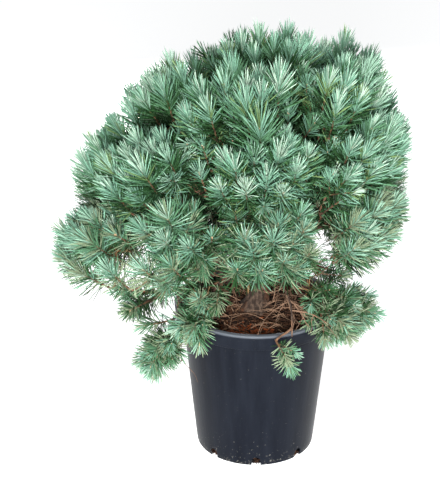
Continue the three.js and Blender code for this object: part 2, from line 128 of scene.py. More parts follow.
# A bough is never thicker than this share of the trunk where it leaves it.
ROOT_SHARE = 0.72
STEM = {"bend": 0.4, "first_fork": 0.3, "last_fork": 0.92}
SHOOT = {"length": 84, "uplift": 0.9, "wander": 0.2}
mass_count = 1 + sum(tier[1] for tier in TIERS.values()) + len(SKIRT)
print("the crown has", mass_count, "masses, and the trunk ends", TRUNK["tip_height"], "mm up")

# %% [markdown]
# ## The rule of growth
# A real pine puts out a ring of shoots at the end of each bough every spring. Modelling each by hand would
# take days, so a few functions plan them: points spread like sunflower seeds over a patch of the dome, with
# a little seeded chance for each. The same seeds give the same shoots here as in the solids.

# %% Seeded numbers and directions
UP = Vector((0, 0, 1))
GOLDEN_ANGLE = math.pi * (3 - math.sqrt(5))
SEED = 987


def stream(mass, shoot=0):
    """Numbers by chance for one shoot of one mass, by the same small rule that the solids use."""
    state = ((mass * 64 + shoot + SEED) * 2654435761) & 0xFFFFFFFF

    def between(low, high):
        nonlocal state
        state = (state * 1664525 + 1013904223) & 0xFFFFFFFF
        return low + (high - low) * state / 4294967296

    between(0, 1)
    return between


def polar_point(azimuth, radius, height):
    """A point round the trunk, by an azimuth in degrees."""
    turn = math.radians(azimuth)
    return Vector((radius * math.cos(turn), radius * math.sin(turn), height))


def square_to(axis):
    """Two directions square to an axis: a level one, and one that leans upwards."""
    across = UP.cross(axis)
    if across.length_squared < 1e-6:
        across = Vector((1, 0, 0))
    across.normalize()
    return across, axis.cross(across)


def sunflower(k, count):
    """The place of one of several points that are spread evenly over a disc of radius one."""
    radius = math.sqrt((k + 0.5) / count)
    return radius * math.cos(k * GOLDEN_ANGLE), radius * math.sin(k * GOLDEN_ANGLE)


def lerp(low, high, share):
    return low + (high - low) * share


def bezier(curve, share):
    """A point on a curve that is given by its start, one control point and its end."""
    start, control, end = curve
    return start * (1 - share) ** 2 + control * (2 * share * (1 - share)) + end * share**2


def bezier_heading(curve, share):
    start, control, end = curve
    return ((control - start) * (1 - share) + (end - control) * share).normalized()


print("each shoot turns on by", round(math.degrees(GOLDEN_ANGLE), 1), "degrees, as seeds in a sunflower do")

# %% The trunk's line and the dome
def trunk_share(height):
    return (height - COMPOST["crest_height"]) / (TRUNK["tip_height"] - COMPOST["crest_height"])


def trunk_point(height):
    share = trunk_share(height)
    x = TRUNK["tip_shift"] * share + TRUNK["sway"] * math.sin(2 * math.pi * share)
    y = TRUNK["depth_sway"] * math.sin(math.pi * share) * math.sin(3 * math.pi * share)
    return Vector((x, y, height))


def trunk_radius(height):
    rise = height - COMPOST["crest_height"]
    straight = lerp(TRUNK["foot_radius"], TRUNK["tip_radius"], max(trunk_share(height), 0))
    return straight + TRUNK["flare"] * math.exp(-3 * rise / TRUNK["flare_height"])


def dome_point(direction, stretch):
    """A point on the dome, which leans to the right and hangs lower at the front than at the back."""
    x, y, z = [side * part * stretch for side, part in zip(CROWN["size"], direction)]
    front_nod, back_nod = CROWN["nod"]
    nod = front_nod if y < 0 else back_nod
    leant = Vector((x + CROWN["lean"] * z, y, z + CROWN["roll"] * x - nod * y))
    return leant + Vector(CROWN["centre"])


def dome_normal(direction):
    return Vector([part / side for part, side in zip(direction, CROWN["size"])]).normalized()


MEAN_RADIUS = (CROWN["size"][0] + CROWN["size"][2]) / 2
print("the trunk is", round(2 * trunk_radius(COMPOST["crest_height"])), "mm thick at its foot")
print("the top of the dome is", round(dome_point(UP, 1).z), "mm up")

# %% The shoots of a mass on the dome
def dome_mass(number, name, polar, azimuth):
    """The middle of a mass and its shoots, each with its bud, where it points and how far out it lies."""
    random = stream(number)
    ring, rise = math.sin(math.radians(polar)), math.cos(math.radians(polar))
    direction = polar_point(azimuth, ring, rise)
    left = -math.cos(math.radians(azimuth))
    stretch = 1 + UNEVEN["left_reach"] * ring**2 * left + random(-1, 1) * UNEVEN["stretch"]
    across, upward = square_to(direction)
    shoots = []
    for k in range(DOME_MASS["shoots"]):
        random = stream(number, k)
        u, v = sunflower(k, DOME_MASS["shoots"])
        aside = direction + across * (u * DOME_MASS["across"] / MEAN_RADIUS)
        aside = (aside + upward * (v * DOME_MASS["upward"] / MEAN_RADIUS)).normalized()
        bud = dome_point(aside, stretch * random(DOME_MASS["shallowest"], 1))
        points = dome_normal(aside) + UP * SHOOT["uplift"]
        points.x += random(-SHOOT["wander"], SHOOT["wander"])
        points.y += random(-SHOOT["wander"], SHOOT["wander"])
        shoots.append({"number": k, "bud": bud, "points": points.normalized(), "share": math.hypot(u, v)})
    middle = dome_point(direction, stretch)
    return {
        "number": number,
        "name": name,
        "middle": middle,
        "direction": direction,
        "stretch": stretch,
        "shoots": shoots,
    }


print("the mass on the leader has", len(dome_mass(0, "top", 0, 0)["shoots"]), "shoots")

# %% Boughs and stems that carry the masses on the dome
def stem_after(tip, heading, target):
    """The curve of a stem that goes on from its bough's tip."""
    return tip, tip + heading * (STEM["bend"] * (target - tip).length), target


def top_mass():
    mass = dome_mass(0, "top", 0, 0)
    tip = trunk_point(TRUNK["tip_height"])
    heading = (tip - trunk_point(TRUNK["tip_height"] - 1)).normalized()
    mass["stem"] = stem_after(tip, heading, tip.lerp(mass["middle"], DOME_MASS["stem_share"]))
    return mass


def tier_mass(number, tier, index):
    """One mass of a ring round the dome. Neighbours in a ring leave the trunk at staggered heights."""
    polar, count, first, roots, radius, share = TIERS[tier]
    mass = dome_mass(number, f"{tier}_{index + 1}", polar, first + 360 * index / count)
    middle = mass["middle"]
    root_height = lerp(*roots, ((index * STAGGER) % count) / (count - 1))
    root = trunk_point(root_height)
    tip = root.lerp(middle, share)
    control = root.lerp(tip, 0.5) - UP * (DOME_MASS["sag"] * (middle - root).length)
    mass["bough"] = (root, control, tip)
    mass["bough_radius"] = min(radius, ROOT_SHARE * trunk_radius(root_height))
    stem_end = tip.lerp(middle, DOME_MASS["stem_share"])
    mass["stem"] = stem_after(tip, (tip - control).normalized(), stem_end)
    return mass


root, _, tip = tier_mass(1, "lower", 0)["bough"]
print("the first bough of the lowest ring spans", round((tip - root).length), "mm")

# %% Boughs that hang over the rim
def skirt_mass(number, name):
    """One mass outside the pot, on a bough that leaves the trunk low and dips over the rim."""
    azimuth, reach, height, droop, spread, count, root_height = SKIRT[name]
    axis = polar_point(azimuth, math.cos(math.radians(droop)), -math.sin(math.radians(droop)))
    middle = polar_point(azimuth, reach, height)
    across, upward = square_to(axis)
    shoots = []
    for k in range(count):
        random = stream(number, k)
        u, rounded = sunflower(k, count)
        v = rounded * SKIRT_MASS["flatness"]
        bud = middle + across * (u * spread) + upward * (v * spread)
        bud += axis * (random(-SKIRT_MASS["depth"], 0) * spread)
        points = axis + across * (SKIRT_MASS["fan"] * u) + upward * (SKIRT_MASS["fan"] * v)
        share = math.hypot(u, rounded)
        shoots.append({"number": k, "bud": bud, "points": points.normalized(), "share": share})
    fork = middle - axis * SHOOT["length"]
    tip = fork - axis * SKIRT_BOUGH["stem"]
    root = trunk_point(root_height)
    control = tip - axis * (SKIRT_BOUGH["bend"] * (tip - root).length)
    mass = {"number": number, "name": name, "middle": middle, "shoots": shoots}
    mass["bough"] = (root, control, tip)
    mass["bough_radius"] = min(SKIRT_BOUGH["radius"], ROOT_SHARE * trunk_radius(root_height))
    mass["stem"] = stem_after(tip, axis, fork)
    return mass


def plan_masses():
    masses = [top_mass()]
    for tier, (_, count, *_) in TIERS.items():
        masses += [tier_mass(len(masses) + index, tier, index) for index in range(count)]
    return masses + [skirt_mass(len(masses) + index, name) for index, name in enumerate(SKIRT)]


masses = plan_masses()
print(len(masses), "masses with", sum(len(mass["shoots"]) for mass in masses), "shoots")

# %% [markdown]
# ## Finishes
# Bark, compost and the pot all have a colour that drifts from spot to spot. It could be painted on, but one
# group of shader nodes makes that drift for each of them: two colours mixed by noise on the object's own
# coordinates. The needles have no pattern. Each tint is a plain colour, and chance deals the tints out.

# %% The shared drift of colour
def drift_group():
    """Mixes a main and another colour by noise; the mask is the other colour's share from spot to spot."""
    tree = bpy.data.node_groups.new("drift of colour", "ShaderNodeTree")
    face = tree.interface
    face.new_socket("Main colour", in_out="INPUT", socket_type="NodeSocketColor")
    face.new_socket("Other colour", in_out="INPUT", socket_type="NodeSocketColor")
    for name, value in (("Grain", 60.0), ("Stretch up", 1.0), ("Share", 0.5), ("Softness", 0.12)):
        face.new_socket(name, in_out="INPUT", socket_type="NodeSocketFloat").default_value = value
    face.new_socket("Colour", in_out="OUTPUT", socket_type="NodeSocketColor")
    face.new_socket("Mask", in_out="OUTPUT", socket_type="NodeSocketFloat")
    nodes, link = tree.nodes, tree.links.new
    given, put_out = nodes.new("NodeGroupInput"), nodes.new("NodeGroupOutput")
    place, squeeze = nodes.new("ShaderNodeTexCoord"), nodes.new("ShaderNodeVectorMath")
    squeeze.operation = "MULTIPLY"
    ratio, noisy = nodes.new("ShaderNodeCombineXYZ"), nodes.new("ShaderNodeTexNoise")
    ratio.inputs["X"].default_value = ratio.inputs["Y"].default_value = 1
    noisy.inputs["Detail"].default_value = 6
    noisy.inputs["Roughness"].default_value = 0.62
    low, high = nodes.new("ShaderNodeMath"), nodes.new("ShaderNodeMath")
    low.operation, high.operation = "SUBTRACT", "ADD"
    edge = nodes.new("ShaderNodeMapRange")
    blend = nodes.new("ShaderNodeMix")
    blend.data_type = "RGBA"
    link(given.outputs["Stretch up"], ratio.inputs["Z"])
    link(place.outputs["Object"], squeeze.inputs[0])
    link(ratio.outputs[0], squeeze.inputs[1])
    link(squeeze.outputs[0], noisy.inputs["Vector"])
    link(given.outputs["Grain"], noisy.inputs["Scale"])
    for shift, end in ((low, "From Min"), (high, "From Max")):
        link(given.outputs["Share"], shift.inputs[0])
        link(given.outputs["Softness"], shift.inputs[1])
        link(shift.outputs[0], edge.inputs[end])
    link(noisy.outputs[0], edge.inputs["Value"])
    link(edge.outputs[0], blend.inputs["Factor"])
    link(given.outputs["Main colour"], blend.inputs["A"])
    link(given.outputs["Other colour"], blend.inputs["B"])
    link(blend.outputs["Result"], put_out.inputs["Colour"])
    link(edge.outputs[0], put_out.inputs["Mask"])
    return tree


DRIFT = drift_group()
print("the drift of colour has", len(DRIFT.nodes), "nodes")

# %% Helpers for finishes
def finish(name, colour=(0.5, 0.5, 0.5), roughness=0.6, specular=0.5):
    """A new material and its shader; what is the same all over is set on the shader itself."""
    material = bpy.data.materials.new(name)
    material.use_nodes = True
    shader = material.node_tree.nodes["Principled BSDF"]
    shader.inputs["Base Color"].default_value = (*colour, 1)
    shader.inputs["Roughness"].default_value = roughness
    shader.inputs["Specular IOR Level"].default_value = specular
    return material, shader


def add_drift(material, main, other, **settings):
    """Sets the drift in a material. The main colour may come from another drift."""
    group = material.node_tree.nodes.new("ShaderNodeGroup")
    group.node_tree = DRIFT
    for name, value in (("Main colour", main), ("Other colour", other)):
        if isinstance(value, bpy.types.NodeSocket):
            material.node_tree.links.new(value, group.inputs[name])
        else:
            group.inputs[name].default_value = (*value, 1)
    for name, value in settings.items():
        group.inputs[name.replace("_", " ").capitalize()].default_value = value
    return group


def colour_from(material, shader, source):
    material.node_tree.links.new(source.outputs["Colour"], shader.inputs["Base Color"])


def add_bump(material, shader, height, depth):
    bump = material.node_tree.nodes.new("ShaderNodeBump")
    bump.inputs["Distance"].default_value = depth
    material.node_tree.links.new(height, bump.inputs["Height"])
    material.node_tree.links.new(bump.outputs["Normal"], shader.inputs["Normal"])


print("helpers for a finish, its drift and its bump are ready")

# %% [markdown]
# ## The pot
# It is moulded in black plastic: a tapered body, a deeper band at the top with a rounded lip, and holes at
# its foot to let water out. It could be a turned profile cut by hand, but the holes repeat, so Geometry
# Nodes set one arched cutter round the foot, and a Boolean takes all of them out of the turned wall at
# once.

# %% A turned shape from arrays
def mesh_object(name, corners, faces, material=None):
    """A new object in the scene, at the origin, with its place in its mesh."""
    mesh = bpy.data.meshes.new(name)
    mesh.from_pydata([tuple(corner) for corner in corners], [], faces)
    mesh.validate()
    made = bpy.data.objects.new(name, mesh)
    bpy.context.scene.collection.objects.link(made)
    if material:
        mesh.materials.append(material)
    return made


def turn_profile(profile, steps):
    """Corners and faces of a closed profile of (radius, height) turned about Z; its ends lie on the axis."""
    middle = profile[1:-1]
    corners = [(0, 0, profile[0][1]), (0, 0, profile[-1][1])]
    for step in range(steps):
        turn = 2 * math.pi * step / steps
        corners += [(radius * math.cos(turn), radius * math.sin(turn), height) for radius, height in middle]
    faces = []
    size = len(middle)
    for step in range(steps):
        here, there = 2 + step * size, 2 + (step + 1) % steps * size
        faces.append((0, there, here))
        faces += [(here + i, there + i, there + i + 1, here + i + 1) for i in range(size - 1)]
        faces.append((1, here + size - 1, there + size - 1))
    return corners, faces


def rounded(centre, radius, start, end, steps=6):
    """Points of an arc in the profile, from one angle to another in degrees."""
    turns = [math.radians(lerp(start, end, i / steps)) for i in range(steps + 1)]
    return [(centre[0] + radius * math.cos(turn), centre[1] + radius * math.sin(turn)) for turn in turns]


def wall_radius(height):
    """The pot's outer radius at a height, under the band."""
    return lerp(POT["base_radius"], POT["body_top_radius"], height / POT["height"])


print("halfway up the pot is", round(2 * wall_radius(POT["height"] / 2)), "mm across")

# %% The pot's profile
# Under the foot runs a shallow groove, given by its two distances from the outside and its rise.
GROOVE = (16, 13, 0.6)
BODY_STEPS = {"first": 20, "apart": 26}
# Where the wall steps out to the band: how far two points of the step lie over the band's foot. The band's
# own points stand a little proud and start a little higher.
BAND_STEP = (1, 1.2)
BAND_FACE = {"proud": 0.2, "start": 3}
# Inside, the wall thins below the rim and is rounded into the floor.
INSIDE_WALL = {"rim_step": 14, "middle": 200, "corner": (3, 2)}
POT_STEPS = 180


def pot_profile():
    """The wall's outline, from the middle of the underside up the outside, over the lip and down inside."""
    top, rim, wall, floor = POT["height"], POT["rim_radius"], POT["wall"], POT["floor"]
    base, foot = wall_radius(0), POT["foot_round"]
    near, far, rise = GROOVE
    profile = [(0, 0), (base - near, 0), (base - far, rise)]
    profile += rounded((base - foot, foot), foot, -90, -8)
    band_foot, outer, edge = top - POT["band_height"], rim - POT["band_taper"], POT["band_round"]
    body = range(BODY_STEPS["first"], band_foot, BODY_STEPS["apart"])
    profile += [(wall_radius(height), height) for height in body]
    under, over = BAND_STEP
    profile += [(wall_radius(band_foot), band_foot + under), (outer - wall, band_foot + over)]
    profile += rounded((outer - edge, band_foot + edge), edge, -90, 0, 3)
    low, high, proud = band_foot + BAND_FACE["start"], top - POT["lip_height"], BAND_FACE["proud"]
    band = [(lerp(outer, rim, up) + proud, lerp(low, high, up)) for up in (0.25, 0.5, 0.75)]
    lip, inner_lip, inner = POT["lip_round"], POT["inner_round"], wall_radius(top)
    profile += band + rounded((rim - lip, top - lip), lip, 0, 90, 7)
    profile += rounded((inner + inner_lip, top - inner_lip), inner_lip, 90, 180, 4)
    middle, (inset, lift) = INSIDE_WALL["middle"], INSIDE_WALL["corner"]
    low_inside = wall_radius(floor) - wall
    profile += [(inner - wall, top - INSIDE_WALL["rim_step"]), (wall_radius(middle) - wall, middle)]
    profile += [(low_inside, floor + lift), (low_inside - inset, floor), (0, floor)]
    return [(radius * MM, height * MM) for radius, height in profile]


pot_corners, pot_faces = turn_profile(pot_profile(), POT_STEPS)
print("the turned wall has", len(pot_faces), "faces")

# %% Helpers for trees of nodes
def group_for_geometry(name, **inputs):
    """A tree that puts out one mesh, with named inputs given by their kind of socket and first value."""
    tree = bpy.data.node_groups.new(name, "GeometryNodeTree")
    tree.interface.new_socket("Geometry", in_out="INPUT", socket_type="NodeSocketGeometry")
    for label, (kind, value) in inputs.items():
        socket = tree.interface.new_socket(label, in_out="INPUT", socket_type="NodeSocket" + kind)
        if value is not None:
            socket.default_value = value
    tree.interface.new_socket("Geometry", in_out="OUTPUT", socket_type="NodeSocketGeometry")
    return tree, tree.nodes.new("NodeGroupInput"), tree.nodes.new("NodeGroupOutput")


def run_nodes(base, tree, name, **values):
    """Gives the object the tree, sets its inputs by their identifiers and returns what it makes as a mesh."""
    modifier = base.modifiers.new(name, "NODES")
    modifier.node_group = tree
    for item in tree.interface.items_tree:
        if item.in_out == "INPUT" and item.name in values:
            modifier[item.identifier] = values[item.name]
    base.update_tag()
    evaluated = base.evaluated_get(bpy.context.evaluated_depsgraph_get())
    mesh = bpy.data.meshes.new_from_object(evaluated)
    mesh.name = name
    bpy.data.objects.remove(base)
    made = bpy.data.objects.new(name, mesh)
    bpy.context.scene.collection.objects.link(made)
    return made


def put_out_copies(tree, given, put_out, place):
    """The given piece goes into the copies, which are made real, get the material and are put out."""
    add, link = tree.nodes.new, tree.links.new
    piece, real, dress = (
        add("GeometryNodeObjectInfo"),
        add("GeometryNodeRealizeInstances"),
        add("GeometryNodeSetMaterial"),
    )
    link(given.outputs["Piece"], piece.inputs["Object"])
    link(piece.outputs["Geometry"], place.inputs["Instance"])
    link(place.outputs[0], real.inputs[0])
    link(real.outputs[0], dress.inputs["Geometry"])
    link(given.outputs["Material"], dress.inputs["Material"])
    link(dress.outputs[0], put_out.inputs[0])


print("a tree of nodes can be set up, run on an object and made to put out copies")

# %% Nodes that set copies of a piece on points
def copies_on_points():
    """Each point carries its copy's direction, length and width, and the copy is rolled by chance."""
    tree, given, put_out = group_for_geometry(
        "copies on points",
        Piece=("Object", None),
        Roll=("Float", math.pi),
        Seed=("Int", 1),
        Material=("Material", None),
    )
    add, link = tree.nodes.new, tree.links.new
    points, place = add("GeometryNodeMeshToPoints"), add("GeometryNodeInstanceOnPoints")
    aim, roll, spin, size = (
        add("FunctionNodeAlignRotationToVector"),
        add("FunctionNodeRandomValue"),
        add("FunctionNodeAxisAngleToRotation"),
        add("ShaderNodeCombineXYZ"),
    )
    turn = add("FunctionNodeRotateRotation")
    turn.rotation_space = "LOCAL"
    reads = {}
    for label, kind in (("points_to", "FLOAT_VECTOR"), ("long", "FLOAT"), ("wide", "FLOAT")):
        reads[label] = add("GeometryNodeInputNamedAttribute")
        reads[label].data_type = kind
        reads[label].inputs["Name"].default_value = label
    link(given.outputs["Geometry"], points.inputs["Mesh"])
    link(reads["points_to"].outputs["Attribute"], aim.inputs["Vector"])
    link(given.outputs["Roll"], roll.inputs[3])
    link(given.outputs["Seed"], roll.inputs["Seed"])
    link(roll.outputs[1], spin.inputs["Angle"])
    link(aim.outputs[0], turn.inputs[0])
    link(spin.outputs[0], turn.inputs[1])
    for axis, label in (("X", "wide"), ("Y", "wide"), ("Z", "long")):
        link(reads[label].outputs["Attribute"], size.inputs[axis])
    link(points.outputs[0], place.inputs["Points"])
    link(turn.outputs[0], place.inputs["Rotation"])
    link(size.outputs[0], place.inputs["Scale"])
    put_out_copies(tree, given, put_out, place)
    return tree


COPIES = copies_on_points()
print("the nodes for copies on points are", len(COPIES.nodes))

# %% Copies of a piece by rows
def points_object(name, places, fields):
    """A cloud of points that carry values of their own."""
    mesh = bpy.data.meshes.new(name)
    mesh.vertices.add(len(places))
    mesh.vertices.foreach_set("co", np.asarray(places, np.float32).ravel())
    for label, kind, values in fields:
        field = mesh.attributes.new(label, kind, "POINT")
        property_name = "vector" if kind == "FLOAT_VECTOR" else "value"
        field.data.foreach_set(property_name, np.asarray(values, np.float32).ravel())
    made = bpy.data.objects.new(name, mesh)
    bpy.context.scene.collection.objects.link(made)
    return made


def set_copies(name, piece, material, rows, seed):
    """Copies of a piece; a row is a place, a direction, a length and a width, all in millimetres."""
    rows = np.array(rows)
    fields = (
        ("points_to", "FLOAT_VECTOR", rows[:, 3:6]),
        ("long", "FLOAT", rows[:, 6] * MM),
        ("wide", "FLOAT", rows[:, 7] * MM),
    )
    cloud = points_object(name + " points", rows[:, :3] * MM, fields)
    made = run_nodes(cloud, COPIES, name, Piece=piece, Roll=math.pi, Seed=seed, Material=material)
    for label, _, _ in fields:
        if label in made.data.attributes:
            made.data.attributes.remove(made.data.attributes[label])
    return made


print("a piece can now be set on any number of rows")

# %% Nodes that set copies of a piece in a ring
def ring_of_copies():
    """Copies stand evenly round a circle, each turned to face outwards."""
    tree, given, put_out = group_for_geometry(
        "ring of copies",
        Piece=("Object", None),
        Count=("Int", 8),
        Radius=("Float", 0.1),
        Material=("Material", None),
    )
    add, link = tree.nodes.new, tree.links.new
    ring, place = add("GeometryNodeMeshCircle"), add("GeometryNodeInstanceOnPoints")
    number, share, spin = (
        add("GeometryNodeInputIndex"),
        add("ShaderNodeMath"),
        add("FunctionNodeAxisAngleToRotation"),
    )
    whole_turn = add("ShaderNodeMath")
    share.operation, whole_turn.operation = "DIVIDE", "MULTIPLY"
    whole_turn.inputs[1].default_value = 2 * math.pi
    link(given.outputs["Count"], ring.inputs["Vertices"])
    link(given.outputs["Radius"], ring.inputs["Radius"])
    link(number.outputs[0], share.inputs[0])
    link(given.outputs["Count"], share.inputs[1])
    link(share.outputs[0], whole_turn.inputs[0])
    link(whole_turn.outputs[0], spin.inputs["Angle"])
    link(ring.outputs[0], place.inputs["Points"])
    link(spin.outputs[0], place.inputs["Rotation"])
    put_out_copies(tree, given, put_out, place)
    return tree


RING = ring_of_copies()
print("the nodes for a ring of copies are", len(RING.nodes))

# %% The pot with its holes
# The cutter starts under the ground and inside the foot, and reaches out through the wall.
CUTTER = {"sill": -3, "start": 12, "reach": 24, "steps": 12}


def hole_cutter():
    """A solid arch along X."""
    half = POT["hole_width"] / 2
    spring = POT["hole_height"] - half
    curve = rounded((0, spring), half, 0, 180, CUTTER["steps"])
    arch = [(half, CUTTER["sill"]), *curve, (-half, CUTTER["sill"])]
    size = len(arch)
    corners = [(x * MM, y * MM, z * MM) for x in (0, CUTTER["reach"]) for y, z in arch]
    faces = [tuple(reversed(range(size))), tuple(range(size, 2 * size))]
    faces += [(i, (i + 1) % size, size + (i + 1) % size, size + i) for i in range(size)]
    return mesh_object("hole cutter", corners, faces)


cutter = hole_cutter()
middle = mesh_object("middle of the foot", [(0, 0, 0)], [])
inside_foot = (POT["base_radius"] - CUTTER["start"]) * MM
cutters = run_nodes(middle, RING, "hole cutters", Piece=cutter, Count=POT["hole_count"], Radius=inside_foot)
pot = mesh_object("pot_wall", pot_corners, pot_faces)
carve = pot.modifiers.new("drainage holes", "BOOLEAN")
carve.object, carve.operation, carve.solver = cutters, "DIFFERENCE", "EXACT"
carved = bpy.data.meshes.new_from_object(pot.evaluated_get(bpy.context.evaluated_depsgraph_get()))
pot.modifiers.clear()
pot.data = carved
for spare in (cutter, cutters):
    bpy.data.objects.remove(spare)
print("the pot with its holes has", len(pot.data.polygons), "faces")

# %% The pot's plastic
plastic, plastic_shader = finish("black plastic", roughness=0.4, specular=0.08)
streaks = add_drift(
    plastic, (0.001, 0.002, 0.0048), (0.0065, 0.0085, 0.0135), grain=30, stretch_up=0.05, softness=0.25
)
dust = add_drift(plastic, streaks.outputs["Colour"], (0.13, 0.125, 0.11), grain=160, softness=0.05)
# In metres up the pot: the dust thins out over its foot, and the lip's top gets a paler grey, which is
# a painted highlight.
DUSTY = {"low": 0, "high": 0.09, "start": 0.62, "end": 0.72}
PAINTED_LIP_HIGHLIGHT = {"low": 0.3735, "high": 0.379, "start": 0, "end": 1}


def height_mask(material, low, high, start, end):
    """A value that goes from start to end as the place on the object rises from low to high."""
    nodes, link = material.node_tree.nodes, material.node_tree.links.new
    place, apart, ramp = (
        nodes.new("ShaderNodeTexCoord"),
        nodes.new("ShaderNodeSeparateXYZ"),
        nodes.new("ShaderNodeMapRange"),
    )
    for label, value in (("From Min", low), ("From Max", high), ("To Min", start), ("To Max", end)):
        ramp.inputs[label].default_value = value
    link(place.outputs["Object"], apart.inputs[0])
    link(apart.outputs["Z"], ramp.inputs["Value"])
    return ramp.outputs[0]


link = plastic.node_tree.links.new
link(height_mask(plastic, **DUSTY), dust.inputs["Share"])
# The paler grey on the lip's top is a painted highlight.
lip_highlight_mix = plastic.node_tree.nodes.new("ShaderNodeMix")
lip_highlight_mix.data_type = "RGBA"
lip_highlight_mix.inputs["B"].default_value = (0.085, 0.095, 0.11, 1)
link(height_mask(plastic, **PAINTED_LIP_HIGHLIGHT), lip_highlight_mix.inputs["Factor"])
link(dust.outputs["Colour"], lip_highlight_mix.inputs["A"])
link(lip_highlight_mix.outputs["Result"], plastic_shader.inputs["Base Color"])
add_bump(plastic, plastic_shader, streaks.outputs["Mask"], depth=0.0004)
print("the plastic has", len(plastic.node_tree.nodes), "nodes")

# %% The pot is dressed
SHARP_ANGLE = 38


def smooth(piece):
    for face in piece.data.polygons:
        face.use_smooth = True


pot.data.materials.clear()
pot.data.materials.append(plastic)
smooth(pot)
pot.data.set_sharp_from_angle(angle=math.radians(SHARP_ANGLE))
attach(pot, "root")
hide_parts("pot")
print("the pot is", round(pot.dimensions.x / MM), "mm across and", round(pot.dimensions.z / MM), "mm high")

# %% [markdown]
# ## The compost
# The pot is filled almost to its rim with dark bark compost, with a rusty patch near the front. Its surface
# could be sculpted, but chance makes a truer one: a fine round grid, lifted a little in the middle and
# roughened by noise.

# %% The bed of compost
# For the noise, how fine it is and how high it lifts the surface, in millimetres.
BED = {"settled": 3, "rough": (38, 3.2), "lumps": (16, 3.4), "gap": 0.3, "rings": 56, "steps": 176}
# How fast the roughness fades from one layer of noise to the next, their ratio and their number, and the
# height at which the lumps' noise is cut, so that the two don't agree.
ROUGHNESS, LUMPS_CUT = (0.7, 2.1, 5), 3


def inner_radius(height):
    return wall_radius(height) - POT["wall"]


def compost_height(x, y):
    """The height of the surface in millimetres, for a place in metres."""
    reach = math.hypot(x, y) / MM
    far = min(reach / inner_radius(COMPOST["edge_height"]), 1)
    mound = lerp(COMPOST["crest_height"], COMPOST["edge_height"], far**2)
    (fine, rough), (wide, lumps) = BED["rough"], BED["lumps"]
    rough *= noise.fractal(Vector((x, y, 0)) * fine, *ROUGHNESS)
    lumps *= noise.noise(Vector((x, y, LUMPS_CUT)) * wide)
    return mound - BED["settled"] + rough + lumps


def compost_bed():
    """A round grid over a plain underside, which the pot hides."""
    rings, steps = BED["rings"], BED["steps"]
    edge = (inner_radius(COMPOST["edge_height"]) - BED["gap"]) * MM
    corners = [(0, 0, compost_height(0, 0) * MM)]
    for ring in range(1, rings + 1):
        for step in range(steps):
            turn = 2 * math.pi * step / steps
            x, y = edge * ring / rings * math.cos(turn), edge * ring / rings * math.sin(turn)
            corners.append((x, y, compost_height(x, y) * MM))
    low = COMPOST["edge_height"] - COMPOST["bed_depth"]
    narrow = (inner_radius(low) - BED["gap"]) * MM / edge
    outer = corners[-steps:]
    corners += [(x * narrow, y * narrow, low * MM) for x, y, _ in outer] + [(0, 0, low * MM)]
    faces = []
    for step in range(steps):
        after = (step + 1) % steps
        faces.append((0, 1 + step, 1 + after))
        for ring in range(rings):
            here, there = 1 + ring * steps, 1 + (ring + 1) * steps
            faces.append((here + step, there + step, there + after, here + after))
        base = 1 + rings * steps
        faces.append((len(corners) - 1, base + after, base + step))
    return corners, faces


soil, soil_shader = finish("bark compost", roughness=0.95, specular=0.2)
crumbs = add_drift(soil, (0.004, 0.0017, 0.0009), (0.036, 0.015, 0.007), grain=240, share=0.55, softness=0.12)
colour_from(soil, soil_shader, crumbs)
add_bump(soil, soil_shader, crumbs.outputs["Mask"], depth=0.002)
compost = mesh_object("compost_bed", *compost_bed(), soil)
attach(compost, "root")
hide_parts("compost")
print("the bed of compost has", len(compost.data.polygons), "faces")

# %% [markdown]
# ## Litter and crumbs
# Chips of bark, brown needles and pale rootlets lie on the compost, and crumbs of it show in the drainage
# holes. Each kind is a small piece of a few faces. Particles could scatter it, but the export drops them,
# so the nodes set copies on rows that chance picks here, and only where they stay inside the wall and over
# the ground.

# %% A chip and a strand
STRAND = {"steps": 5, "half": 0.5, "taper": 0.5}
BOWS = {"rootlet": 3.2, "needle": 1.6}


def chip_piece():
    """A chip of bark one unit long along Z, broken unevenly, about half as thick as it is wide."""
    lower = [(-0.5, -0.2, 0.08), (0.42, -0.26, 0), (0.5, 0.2, 0.06), (-0.38, 0.24, 0)]
    upper = [(-0.3, -0.22, 0.92), (0.36, -0.16, 1), (0.28, 0.24, 0.86), (-0.44, 0.18, 0.96)]
    faces = [(3, 2, 1, 0), (4, 5, 6, 7)] + [(i, (i + 1) % 4, 4 + (i + 1) % 4, 4 + i) for i in range(4)]
    return mesh_object("chip", lower + upper, faces)


def strand_piece(bow):
    """A bent strand one unit long along Z; its middle stands aside by the bow, in units of its width."""
    steps = STRAND["steps"]
    corners = []
    for step in range(steps + 1):
        share = step / steps
        aside = bow * math.sin(math.pi * share)
        half = STRAND["half"] * (1 - STRAND["taper"] * share)
        for turn in (0, 120, 240):
            out = Vector((math.cos(math.radians(turn)), math.sin(math.radians(turn)))) * half
            corners.append((aside + out.x, out.y, share))
    faces = [(2, 1, 0), (steps * 3, steps * 3 + 1, steps * 3 + 2)]
    for step in range(steps):
        for i in range(3):
            a = step * 3 + i
            b = step * 3 + (i + 1) % 3
            faces.append((a, b, b + 3, a + 3))
    return mesh_object("strand", corners, faces)


chip, curl, straw = chip_piece(), strand_piece(BOWS["rootlet"]), strand_piece(BOWS["needle"])
print("a chip has", len(chip.data.polygons), "faces and a strand", len(curl.data.polygons))

# %% Litter on the compost
LIE = {"from_wall": 5, "lift": 0.5}


